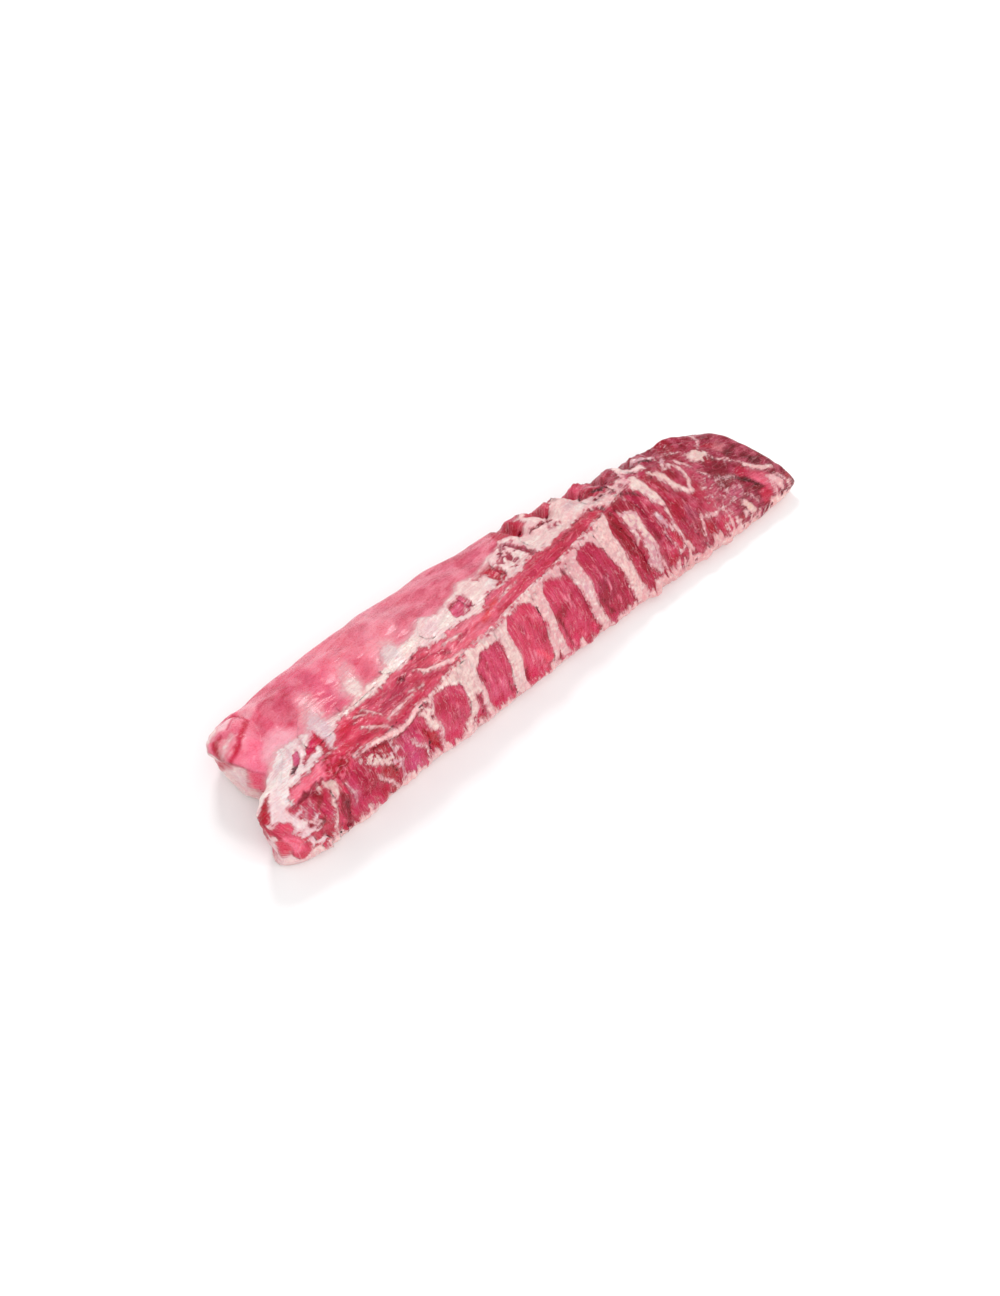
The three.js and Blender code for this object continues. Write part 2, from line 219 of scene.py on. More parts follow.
def patches(a, b, size, seed):
    """Smooth unevenness with patches of the given size, between -1 and 1, the same each time."""
    lattice = np.random.default_rng(seed).uniform(-1, 1, LATTICE)
    i, j = np.floor(a / size).astype(int), np.floor(b / size).astype(int)
    u, v = smooth(a / size - i), smooth(b / size - j)
    rows, columns = lattice.shape
    left = lattice[i % rows, j % columns] * (1 - v) + lattice[i % rows, (j + 1) % columns] * v
    right = lattice[(i + 1) % rows, j % columns] * (1 - v) + lattice[(i + 1) % rows, (j + 1) % columns] * v
    return left * (1 - u) + right * u


def uneven(at, *rows):
    """Patches laid together. A row gives height in mm, how far drawn out round the loin, size and seed."""
    return sum(high * patches(at.s, at.b / drawn, size, seed) for high, drawn, size, seed in rows)


# What shows on the skin is laid on as coats, in order: lean muscle, pale tissue over it, tints of the lean
# and veils, which tint the pale tissue. A shape gives how many millimetres a place lies inside it, and
# further in or out than DEEP_IN counts as that.
DEEP_IN = 6.0


def oval(s_from, s_to, m_from, m_to, turn=0):
    """An oval in a box of the skin, turned by degrees from along the loin towards the outer edge."""
    def inside(at):
        half_s, half_m = (s_to - s_from) / 2, (m_to - m_from) / 2
        p, q = at.s - (s_from + s_to) / 2, (at.m - (m_from + m_to) / 2) * at.k
        c, n = np.cos(np.radians(turn)), np.sin(np.radians(turn))
        wide = np.minimum(half_s, half_m * at.k)
        return (1 - np.hypot((p * c + q * n) / half_s, (q * c - p * n) / (half_m * at.k))) * wide
    return inside


def strand(points, width, taper=0.35):
    """A strand through points of the skin, thinner at its ends."""
    def inside(at):
        nearest, thin = np.full(len(at.s), 1e3), np.ones(len(at.s))
        spans = len(points) - 1
        for n, ((s0, m0), (s1, m1)) in enumerate(zip(points, points[1:])):
            p, q = at.s - s0, (at.m - m0) * at.k
            run, rise = s1 - s0, (m1 - m0) * at.k
            t = np.clip((p * run + q * rise) / (run ** 2 + rise ** 2), 0, 1)
            away = np.hypot(p - t * run, q - t * rise)
            ends = 1 - taper * np.abs(2 * (n + t) / spans - 1) ** 2
            thin = np.where(away < nearest, ends, thin)
            nearest = np.minimum(nearest, away)
        return width / 2 * thin - nearest
    return inside


def band(low, high):
    """The skin between two lines along the loin, each given as (s, mark) points."""
    def inside(at):
        between = np.minimum(at.m - np.interp(at.s, *zip(*low)), np.interp(at.s, *zip(*high)) - at.m) * at.k
        return np.minimum(between, np.minimum(at.s - low[0][0], low[-1][0] - at.s))
    return inside


def bar(left, right):
    """The skin between two lines down the rib face, each given as (s, mark) points from the top down."""
    def inside(at):
        lines = [np.interp(at.m, [m for _, m in line[::-1]], [s for s, _ in line[::-1]]) for line in (left, right)]
        between = np.minimum(at.s - lines[0], lines[1] - at.s)
        return np.minimum(between, np.minimum(left[0][1] - at.m, at.m - left[-1][1]) * at.k)
    return inside


def linear(hex_colour):
    """An sRGB hex colour as linear light."""
    c = np.array([int(hex_colour[i:i + 2], 16) / 255 for i in (1, 3, 5)])
    return np.where(c <= 0.04045, c / 12.92, ((c + 0.055) / 1.055) ** 2.4)


def tone(*keys):
    """A colour that changes along the loin, given as (s, hex colour) pairs."""
    def colour(at):
        rgb = np.array([linear(value) for _, value in keys])
        return np.stack([np.interp(at.s, [s for s, _ in keys], rgb[:, i]) for i in range(3)], -1)
    return colour


def coat(coats, tissue, colour, shape, soft=2.5, height=0.0, strength=1.0):
    """Lays one coat over the others: its edge is soft over so many mm, and it stands so many mm high."""
    coats.append(SimpleNamespace(
        tissue=tissue, colour=colour, shape=shape, soft=soft, height=height, strength=strength,
    ))


def scraps(region, size, share, seed, stretch=0.6):
    """Scraps of tissue left in a region, of the given size in mm, covering about a share of it."""
    def inside(at):
        left = patches(at.s * stretch, at.b, size, seed) + 1.2 * share - 0.6
        return np.minimum(region(at), 1.6 * size * left)
    return inside


skin = []

# The eye muscle: the long smooth muscle beyond the chine line, lean and moist under its thin silverskin. It
# is pinker and paler towards the sirloin end, with soft blotches along its grain.
SMOOTH_MUSCLE = tone(
    (-275, "#F08A9B"), (-245, "#EF94A1"), (-215, "#EE7B8E"), (-190, "#DB667B"), (-165, "#E3758A"),
    (-140, "#E7838F"), (-110, "#E8929A"), (-85, "#E2A2A8"), (-60, "#DC7D89"), (-30, "#CB5E74"),
    (10, "#CD6278"), (35, "#CF5F70"), (60, "#C45064"), (130, "#B04458"), (170, "#9C384A"), (290, "#96354A"),
)
coat(skin, "tint", SMOOTH_MUSCLE, lambda at: (at.m - 7.6) * at.k, soft=8)
for colour, shape, soft, strength in (
    ("#CE566D", oval(-215, -178, 8.1, 9.2, 15), 8, 0.8),
    ("#C44F66", oval(-206, -188, 8.25, 8.8, 10), 5, 0.8),
    ("#F7BEC2", oval(-228, -206, 8.95, 9.7, -10), 7, 0.8),
    ("#EE7C90", oval(-235, -205, 8.0, 8.5, -20), 8, 0.6),
    ("#F2A9AE", oval(-130, -88, 8.3, 8.9, 10), 8, 0.4),
    ("#CF6374", oval(-60, -20, 8.15, 8.7), 8, 0.6),
    ("#CD5E70", oval(-70, 20, 9.2, 10.2), 10, 0.5),
):
    coat(skin, "tint", colour, shape, soft=soft, strength=strength)
for s, m, colour in (
    (-192, 8.35, "#BF4A62"), (-176, 8.55, "#D2607A"), (-168, 9.1, "#DD6C82"), (-158, 8.25, "#D2607A"),
    (-148, 9.0, "#F0A2AC"), (-138, 8.4, "#D9687F"), (-122, 8.9, "#DF7484"), (-104, 8.5, "#DE7886"),
    (-96, 9.05, "#D6707F"), (-78, 8.35, "#D46A79"), (-64, 9.0, "#CF5F72"), (-48, 8.5, "#E28A94"),
    (-36, 8.85, "#CF5F72"), (-20, 8.4, "#E08089"), (-6, 8.8, "#CE5C6F"), (12, 8.5, "#E07E8B"),
):
    coat(skin, "tint", colour, oval(s - 12, s + 12, m - 0.16, m + 0.16, 28), soft=6, strength=0.55)
for colour, size, share, seed in (("#C4506A", 11, 0.4, 11), ("#F5B8BC", 7, 0.34, 12), ("#EF96A4", 3.4, 0.4, 14)):
    blotches = scraps(lambda at: (at.m - 7.7) * at.k, size, share, seed, 0.8)
    coat(skin, "tint", colour, blotches, soft=6, strength=0.36)

# The steep rib face: red muscle that fills the space between the ribs and holds them. It was cut down with
# a knife, so its tone differs a little from block to block.
FACE_MUSCLE = tone(
    (-262, "#CC566A"), (-210, "#C24862"), (-192, "#C84A6C"), (-170, "#B42C4A"), (-148, "#C4567A"),
    (-136, "#C8566E"), (-105, "#CA5870"), (-60, "#CB5A74"), (-18, "#D25C72"), (25, "#C8526C"),
    (66, "#B4445E"), (105, "#B4445C"), (145, "#BC4C62"), (166, "#AC3A50"), (205, "#B04A5E"),
    (232, "#90304A"), (288, "#88283E"),
)
coat(skin, "tint", FACE_MUSCLE, lambda at: (6 - at.m) * at.k, soft=3)
for s, low, reach in ((-110, 3.75, 9), (-62, 3.7, 10), (-24, 3.9, 11), (24, 3.75, 10), (44, 3.8, 6), (204, 4.0, 8)):
    coat(skin, "tint", "#D0466A", oval(s - reach, s + reach, low - 0.45, low + 0.55), soft=9, strength=0.8)
for colour, shape, soft, strength in (
    ("#EC6A7A", strand([(-17, 4.62), (-10, 4.35), (-4, 4.1)], 5), 3, 0.8),
    ("#A02C48", oval(9, 17, 4.3, 5.7, -70), 4, 0.8),
    ("#94304E", oval(56, 74, 4.35, 5.1), 6, 0.7),
    ("#9A2642", oval(53, 61, 4.1, 5.0, -60), 4, 0.8),
    ("#A8304A", oval(-119, -106, 5.0, 5.6), 5, 0.6),
    ("#8E2A44", oval(-73, -65, 5.5, 5.8), 2.5, 0.7),
):
    coat(skin, "tint", colour, shape, soft=soft, strength=strength)

# The long muscle beside the crest, redder and coarser. It was torn along its length when it was pulled from
# the bones, so darker and paler strands run through it.
CREST_TONE = tone(
    (-245, "#CB4B60"), (-205, "#CE4A60"), (-180, "#DA5A6D"), (-150, "#D06275"), (-115, "#C95B6D"),
    (-95, "#DA6A79"), (-55, "#E08892"), (-10, "#DA6E80"), (20, "#C95266"), (60, "#CA5568"), (104, "#C65265"),
)
CREST_TOP = [
    (-244, 6.62), (-212, 6.68), (-203, 6.6), (-196, 6.75), (-190, 6.95), (-180, 7.33), (-165, 7.35),
    (-150, 7.2), (-135, 7.2), (-125, 7.35), (-115, 7.25), (-105, 7.38), (-95, 7.33), (-86, 7.1), (-78, 6.86),
    (-68, 6.98), (-58, 6.95), (-52, 6.75), (-45, 6.6), (-38, 6.75), (-25, 6.9), (-10, 6.8), (0, 6.75),
    (8, 6.65), (20, 6.88), (30, 6.85), (38, 6.65), (50, 6.62), (62, 6.62), (72, 6.55), (80, 6.65), (88, 6.7),
    (95, 6.65), (104, 6.3),
]
coat(skin, "tint", CREST_TONE, band([(-244, 5.9), (104, 5.9)], CREST_TOP), soft=3)
for points, width, colour in (
    ([(-190, 6.6), (-176, 6.95), (-166, 7.1)], 7, "#D2445E"),
    ([(-174, 6.9), (-166, 7.05), (-160, 7.0)], 5, "#9C2B44"),
    ([(-178, 6.35), (-168, 6.4), (-160, 6.2)], 6, "#B0324C"),
    ([(-154, 6.5), (-140, 6.65), (-126, 6.7)], 9, "#B4485F"),
    ([(-150, 6.05), (-135, 6.12), (-120, 6.05)], 5, "#C2405A"), ([(-128, 6.85), (-119, 6.95)], 4, "#93283E"),
    ([(-112, 6.4), (-100, 6.12), (-88, 6.0)], 4, "#A93650"),
    ([(-105, 7.0), (-92, 6.85), (-82, 6.5)], 5, "#B23A54"), ([(-86, 6.5), (-82, 6.38)], 3, "#8A2A3E"),
    ([(-74, 6.35), (-60, 6.45)], 3.4, "#B8405A"), ([(-46, 6.3), (-36, 6.55), (-24, 6.6)], 5, "#DE6462"),
    ([(-36, 6.15), (-16, 6.2), (4, 6.3)], 5, "#BF4258"), ([(10, 6.3), (28, 6.35), (44, 6.2)], 7, "#C04864"),
    ([(40, 6.5), (60, 6.45), (72, 6.4)], 2.5, "#8F2A42"), ([(78, 6.3), (88, 6.4), (98, 6.35)], 5, "#B83A52"),
    ([(-196, 6.15), (-182, 6.2)], 6, "#A42C46"),
):
    coat(skin, "tint", colour, strand(points, width), soft=3, strength=0.75)
coat(skin, "tint", "#EE98A0", strand([(-95, 6.98), (-80, 6.72), (-62, 6.7)], 4), soft=3, strength=0.6)
coat(skin, "tint", "#EA8E98", strand([(-190, 7.0), (-178, 7.25), (-165, 7.28)], 3), soft=3, strength=0.6)
coat(skin, "tint", "#EA8E98", strand([(-135, 7.1), (-122, 7.25), (-108, 7.25)], 3), soft=3, strength=0.6)

# The shoulder end: beyond the last whole rib the top is dark shoulder muscle, several muscles side by side,
# with broad darker bands across it where one ends and the next begins.
PAST_RIBS = 128
coat(skin, "tint", "#98304A", lambda at: np.minimum(at.s - PAST_RIBS, (at.m - 6.05) * at.k), soft=14)
for colour, shape, soft, strength in (
    ("#8E2038", oval(196, 236, 6.0, 7.4, 12), 8, 0.95),
    ("#94344A", oval(165, 187, 6.0, 7.1), 6, 0.9),
    ("#962A46", oval(230, 268, 6.6, 8.2, 25), 8, 0.8),
    ("#B23048", oval(198, 212, 7.1, 7.8, 40), 5, 0.8),
    ("#93303F", oval(133, 150, 6.9, 8.4), 5, 0.8),
    ("#8E2E40", oval(160, 174, 7.2, 8.6), 5, 0.8),
):
    coat(skin, "tint", colour, shape, soft=soft, strength=strength)
coat(skin, "tint", "#7E2A3A", lambda at: np.minimum(at.s - np.interp(at.m, (6.1, 7.2, 8.2), (264, 270, 280)), 20),
     soft=5, strength=0.8)

# The white chine band: the sawn backbone under its membrane, fixed in the meat all along. It is cream on the
# bone, and grey or lilac in the sunk places where the membrane is thin.
CHINE_TONE = tone(
    (-270, "#F7E2E0"), (-250, "#F5E8E6"), (-215, "#F2D8D8"), (-195, "#E8CBCD"), (-170, "#F6DCD4"),
    (-95, "#F7DDD7"), (-77, "#F0D1CF"), (-28, "#EECDC8"), (8, "#EFC9C7"), (45, "#ECC6C4"), (85, "#EAC2BD"),
    (120, "#D5A1A4"),
)
CHINE_BOTTOM = [(-276, 5.95), (-247, 6.05), (-240, 6.62), *CREST_TOP[1:-1], (103, 6.4), (112, 6.15), (126, 6.1)]
CHINE_TOP = [
    (-276, 7.8), (-262, 8.05), (-245, 8.15), (-232, 8.05), (-218, 7.9), (-205, 7.7), (-184, 7.58), (-165, 7.56),
    (-138, 7.6), (-118, 7.85), (-104, 7.95), (-95, 7.95), (-82, 8.1), (-73, 8.2), (-66, 7.95), (-52, 7.92),
    (-38, 8.05), (-28, 8.18), (-18, 7.95), (0, 8.0), (8, 8.25), (16, 8.15), (24, 8.25), (30, 8.6), (60, 9.0),
    (92, 9.0), (103, 7.9), (112, 7.2), (126, 6.9),
]
coat(skin, "pale", CHINE_TONE, band(CHINE_BOTTOM, CHINE_TOP), soft=3, height=0.5)
coat(skin, "tint", "#F8C4CA", oval(-264, -206, 7.7, 8.45, -8), soft=10, strength=0.8)
for s, half, low, top, colour in (
    (-195, 9, 6.8, 8.3, "#DDBCC2"), (-152, 7, 7.4, 8.35, "#F3DCD6"), (-114, 9, 7.4, 8.3, "#EEDAD8"),
):
    coat(skin, "tint", "#F6B0B6", oval(s - half - 5, s + half + 5, low, top + 0.3, -20), soft=10, strength=0.7)
    coat(skin, "pale", colour, oval(s - half, s + half, low, top, -20), soft=7)
for middle, low, high, colour, share in (
    (-196, 6.9, 8.1, "#DCC2CA", 0.5), (-255, 7.1, 7.9, "#DCC8D0", 0.5), (-236, 7.4, 7.9, "#D9B4BE", 0.5),
    (-264, 7.0, 7.5, "#F3E4DC", 0.8), (-176, 7.35, 7.65, "#F3E6DC", 0.8), (-152, 7.3, 7.7, "#F2DCD2", 0.6),
    (-113, 7.7, 8.2, "#D6C2C4", 0.6), (-122, 7.4, 7.8, "#F2E4DA", 0.8), (-100, 7.5, 7.9, "#F3E6DC", 0.8),
    (-75, 7.3, 7.9, "#E7BEC6", 0.6), (-64, 7.2, 7.7, "#EFE2D8", 0.7), (-29, 7.1, 7.9, "#E4C2C0", 0.5),
    (-13, 7.1, 7.4, "#E6DEDA", 0.8), (-34, 6.9, 7.4, "#EEDDD2", 0.7), (6, 7.0, 7.6, "#E9D3CC", 0.7),
    (18, 6.95, 7.4, "#E2D5CB", 0.7), (42, 6.9, 7.6, "#E8D5CD", 0.6), (58, 7.0, 7.4, "#DFC0BC", 0.6),
    (76, 7.0, 7.7, "#E9D2C8", 0.6), (93, 7.25, 7.5, "#B99AA2", 0.7), (98, 6.9, 7.2, "#E6E0DA", 0.8),
):
    coat(skin, "veil", colour, oval(middle - 8, middle + 8, low, high, 12), soft=5, strength=share)

# Red muscle that shows between the bones, where the saw and the knife opened the band: dark pits and splits
# and a few pale threads.
for tissue, colour, shape, soft, height in (
    ("lean", "#D46C84", band([(-57, 7.3), (-51, 7.02), (-38, 7.12)], [(-57, 7.4), (-54, 7.72), (-38, 7.72)]),
     2, -1),
    ("tint", "#A02C46", strand([(-54, 7.64), (-42, 7.68)], 3), 2, 0),
    ("pale", "#F2B0B8", strand([(-49, 7.06), (-44, 7.22), (-38, 7.4)], 2.6), 1.5, 0.4),
    ("lean", "#B8304A", strand([(-18, 7.8), (-8, 7.8), (1, 7.76)], 4, 0.2), 2, -1),
    ("lean", "#C0344E", oval(-8.5, 2, 6.95, 7.82), 2, -1.2),
    ("lean", "#B8304A", strand([(-3, 7.02), (-13, 6.95)], 3.4), 2, -0.6),
    ("pale", "#EFA3AC", strand([(-7, 7.0), (0, 7.28)], 2), 1.5, 0.5),
    ("lean", "#93384B", strand([(25.5, 7.95), (29, 7.5), (32, 7.1), (32, 6.85)], 5), 1.5, -1),
    ("lean", "#B0606E", scraps(oval(5, 35, 6.95, 8.2), 2.4, 0.17, 71), 1.5, -0.8),
    ("lean", "#8E4656", strand([(10, 7.72), (17, 7.92), (25, 8.12)], 2), 1.5, -0.8),
    ("lean", "#A04A58", oval(13, 19, 7.34, 7.6), 1.5, -0.6),
    ("lean", "#7E2B3D", strand([(49, 7.72), (58, 7.62), (70, 7.44)], 2.6), 1.5, -1),
    ("lean", "#A4606A", strand([(60, 7.26), (72, 7.18)], 1.8), 1.5, 0),
    ("lean", "#9C2F45", strand([(106, 7.5), (113, 7.45), (120, 7.38)], 6), 1.5, -0.6),
    ("lean", "#4E1A24", strand([(118, 7.36), (131, 7.28)], 2.6), 1.2, -0.8),
):
    coat(skin, tissue, colour, shape, soft=soft, height=height)
for s, m in ((-104, 7.3), (-123, 6.9)):
    coat(skin, "lean", "#7A3442", oval(s - 1.7, s + 1.7, m - 0.08, m + 0.08), soft=1.2, height=-0.8)
for first, last, colour in ((27, 55, "#C4485C"), (61, 86, "#C8485C"), (96, 116, "#D4667A"), (122, 146, "#B24458")):
    middle = first + (last - first) * 0.62
    coat(skin, "lean", colour, band(
        [(first, 8.4), (middle, 7.95), (last, 8.2)], [(first, 8.6), (middle, 10.1), (last, 8.8)],
    ), soft=3)
    coat(skin, "tint", "#A33B4D", oval(first + 4, last - 3, 8.7, 9.5), soft=6, strength=0.5)

# The ribs and the white tissue along the crest: flat bones under a thin membrane, joined at the top by a
# line of fat that is ragged where it was scraped.
FAT_LINE_LOW = [
    (-112, 5.8), (-104, 5.66), (-95, 5.5), (-90, 5.45), (-72, 5.5), (-66, 5.72), (-60, 5.6), (-50, 5.62),
    (-36, 5.6), (-30, 5.83), (-12, 5.86), (-3, 5.6), (8, 5.62), (14, 5.84), (24, 5.84), (32, 5.66), (40, 5.75),
    (50, 5.62), (58, 5.84), (72, 5.84), (80, 5.45), (98, 5.55), (106, 5.9),
]
FAT_LINE_HIGH = [
    (-112, 5.9), (-100, 5.95), (-72, 5.96), (-33, 5.95), (-20, 5.97), (0, 6.02), (20, 5.97), (50, 6.02),
    (80, 5.98), (98, 6.02), (106, 6.05),
]
FACE_TONE = tone((-225, "#EBC3BA"), (-120, "#EACAC2"), (-50, "#E9CBC3"), (5, "#E3A6A8"), (44, "#DC9A9F"),
                 (90, "#E9BBB6"), (120, "#DBA5A4"), (240, "#EDBDB6"))
coat(skin, "pale", FACE_TONE, band(FAT_LINE_LOW, FAT_LINE_HIGH), soft=2, height=0.7)
for left, right in (
    ([(-133, 5.68), (-130, 5.3), (-128, 4.85)], [(-117, 5.78), (-120, 5.3), (-120, 4.85)]),
    ([(-93, 5.78), (-91, 5.4), (-90, 4.85)], [(-72, 5.78), (-74, 5.4), (-75, 4.85)]),
    ([(-46, 5.78), (-45.5, 5.3), (-44.5, 4.4), (-44.5, 3.2)], [(-33.5, 5.78), (-35, 5.3), (-33, 4.3), (-30, 3.2)]),
    ([(-5, 5.8), (-3, 5.2), (-2.5, 4.4), (-2, 3.2)], [(9, 5.8), (7.5, 5.2), (10, 4.5), (18, 3.2)]),
    ([(36, 5.8), (40, 5.1), (43, 4.6), (47, 4.0), (50, 3.2)], [(51.5, 5.8), (52.5, 5.2), (53, 4.6), (60, 3.5)]),
    ([(72, 5.92), (80, 5.5), (85, 5.0), (88, 4.5), (91, 3.2)], [(99, 5.92), (98, 5.0), (100, 4.5), (104, 3.8)]),
):
    coat(skin, "pale", FACE_TONE, bar(left, right), soft=2, height=0.5)
for points, width, colour in (
    # The grey-lilac strand at -163 is a painted highlight on wet membrane; the other strands are pale tissue.
    ([(-219, 5.4), (-228, 5.02), (-239, 4.7)], 3, "#E6B9B4"), ([(-163, 5.78), (-163, 5.1)], 2.4, "#C8A3AC"),
    ([(-182, 5.05), (-178, 4.62), (-171, 4.15), (-166, 3.4)], 3.6, "#E8B6B4"),
    ([(-160, 5.0), (-160, 4.3), (-157, 3.4)], 3, "#DDAEBA"),
    ([(-147, 5.15), (-139, 4.65), (-133, 4.2), (-131, 3.3)], 3.6, "#E8B8B8"),
    ([(-121, 5.0), (-119, 4.5), (-117, 3.9), (-116, 3.2)], 4, "#E6B2B2"),
    ([(-131, 5.7), (-122, 5.78), (-112, 5.82)], 3, "#E8C4BC"),
    ([(-88, 5.0), (-87, 4.55), (-93, 4.05), (-97, 3.3)], 7, "#E8C6BC"),
    ([(-77, 5.1), (-75.5, 4.5), (-72, 3.9), (-71, 3.2)], 6, "#EBC0BC"),
    ([(-84, 4.7), (-86, 4.3), (-86, 3.4)], 2.4, "#E5B2B2"),
):
    coat(skin, "pale", colour, strand(points, width, 0.2), soft=1.5, height=0.4)
for s, m in ((-123, 5.38), (36, 5.7)):
    coat(skin, "lean", "#8E3A4A", oval(s - 2, s + 2, m - 0.1, m + 0.1), soft=1.2, height=-0.7)
coat(skin, "pale", "#E6C4BA", scraps(strand([(-187, 5.82), (-180, 5.62), (-174, 5.36), (-169, 5.05)], 9, 0.2),
     2, 0.7, 96, 1.0), soft=2, height=0.3)
coat(skin, "pale", "#D9A2B2", scraps(oval(-169, -156, 4.5, 5.5), 3, 0.5, 81, 0.9), soft=2)
coat(skin, "tint", "#C84A74", oval(-157, -139, 4.2, 5.5), soft=5, strength=0.6)
coat(skin, "veil", "#D49CA8", strand([(44, 5.4), (47, 4.8)], 5), soft=2.5, strength=0.8)
for points, width, colour in (
    ([(-177, 4.9), (-171, 4.62), (-164, 4.25)], 8, "#A81C3C"),
    ([(-134, 5.08), (-129, 4.65), (-122, 4.05)], 8, "#B2203E"),
    ([(-84, 4.95), (-80, 4.5), (-78, 4.2)], 2.8, "#A84A5A"), ([(-82.5, 4.1), (-81, 3.2)], 4.5, "#C03A50"),
    ([(3.5, 4.25), (5, 3.3)], 3, "#B8485C"),
):
    coat(skin, "lean", colour, strand(points, width, 0.6), soft=1.5, height=-0.5)

# Where the membrane is thin the ribs are greyer. Pale threads of it and dark splits run in the scraped
# muscle between them.
rib_rows = band([(-94, 3.2), (104, 3.2)], [(-94, 5.95), (104, 5.95)])
coat(skin, "veil", "#CB9C9C", scraps(rib_rows, 1.8, 0.34, 102, 0.8), soft=2, strength=0.7)
coat(skin, "veil", "#EFD6CC", scraps(rib_rows, 2.2, 0.22, 103, 0.8), soft=2, strength=0.5)
for points, width in (
    ([(-20, 4.7), (-15, 4.25), (-9, 3.75)], 1.6), ([(-21, 4.75), (-19, 4.2), (-15, 3.6)], 1.5),
    ([(-24, 4.8), (-25, 4.3)], 1.4), ([(-22, 5.3), (-20, 5.0)], 1.2), ([(24, 5.5), (27, 5.0)], 1.5),
    ([(28, 5.3), (31, 4.7)], 1.3), ([(30, 4.2), (33, 3.8)], 1.5), ([(21, 4.1), (22, 3.6)], 1.4),
    ([(-58, 4.8), (-57, 4.5)], 1.6), ([(-66, 5.2), (-65, 4.8)], 1.2), ([(-101, 5.1), (-100, 4.6)], 1.3),
    ([(68, 5.0), (69, 4.7)], 1.6), ([(62, 5.4), (64, 5.1)], 1.2), ([(73, 4.4), (76, 4.0)], 1.5),
):
    coat(skin, "tint", "#F0A0AA", strand(points, width, 0.2), soft=1.2, height=0.3, strength=0.8)
for points, width in (
    ([(13, 4.9), (15, 4.4)], 2.8), ([(17, 4.3), (19, 3.9)], 2.2), ([(-31, 4.4), (-30, 3.8)], 2.4),
    ([(57, 4.8), (61, 4.3), (65, 4.0)], 2.6), ([(-73, 5.4), (-72, 5.0)], 2.2), ([(-49, 4.4), (-48, 3.9)], 2),
):
    coat(skin, "tint", "#86203A", strand(points, width, 0.2), soft=1.2, height=-0.5, strength=0.8)

# Beyond the eighth rib the bones show only in part. A patchwork of small muscles covers them, held together
# by pale seams of fat and membrane.
for colour, size, share, seed in (("#CE7C88", 5, 0.4, 93), ("#7E2036", 4.5, 0.36, 94), ("#D78C94", 3, 0.3, 95)):
    mottled = scraps(lambda at: np.minimum(at.s - PAST_RIBS, (at.m - 3) * at.k), size, share, seed, 1.0)
    coat(skin, "tint", colour, mottled, soft=3.5, strength=0.32)
for s, m, half_s, half_m, colour in (
    (160, 4.8, 12, 0.4, "#B8465A"), (166, 5.15, 8, 0.22, "#A8324A"), (164, 4.75, 7, 0.24, "#A03A50"),
    (176, 4.95, 6, 0.2, "#BC6C7C"), (144, 5.42, 4, 0.1, "#A83A50"), (148, 4.62, 5, 0.24, "#BE3650"),
    (139, 4.35, 6, 0.2, "#B83650"), (185, 5.72, 8, 0.14, "#96283E"), (197, 5.25, 7, 0.24, "#B23C54"),
    (208, 4.98, 10, 0.16, "#B45468"), (196, 4.8, 9, 0.14, "#C05A6C"), (185, 4.35, 5, 0.26, "#AE2840"),
    (197, 4.25, 6, 0.2, "#C04860"), (217, 4.08, 5, 0.12, "#B02C44"), (228, 4.8, 9, 0.16, "#BC6C7E"),
    (237, 5.4, 15, 0.22, "#802438"), (230, 5.12, 14, 0.12, "#7C1C30"), (245, 4.78, 6, 0.2, "#8A2A42"),
    (246, 4.54, 3, 0.07, "#5A1020"), (238, 5.62, 6, 0.08, "#A02C44"), (255, 5.08, 6, 0.14, "#B43C54"),
    (256, 4.74, 4, 0.18, "#DE6C80"), (251, 4.2, 5, 0.45, "#C8485E"), (266, 5.58, 6, 0.12, "#6C1C2C"),
    (276, 5.18, 6, 0.12, "#561624"), (281, 4.92, 4, 0.08, "#7A3444"), (268, 5.82, 8, 0.14, "#CC8C8C"),
    (264, 6.02, 7, 0.14, "#B03A4C"), (283, 4.3, 4, 0.12, "#B02C42"), (208, 5.8, 5, 0.08, "#6C2230"),
):
    coat(skin, "tint", colour, oval(s - half_s, s + half_s, m - half_m, m + half_m), soft=2.5, strength=0.85)
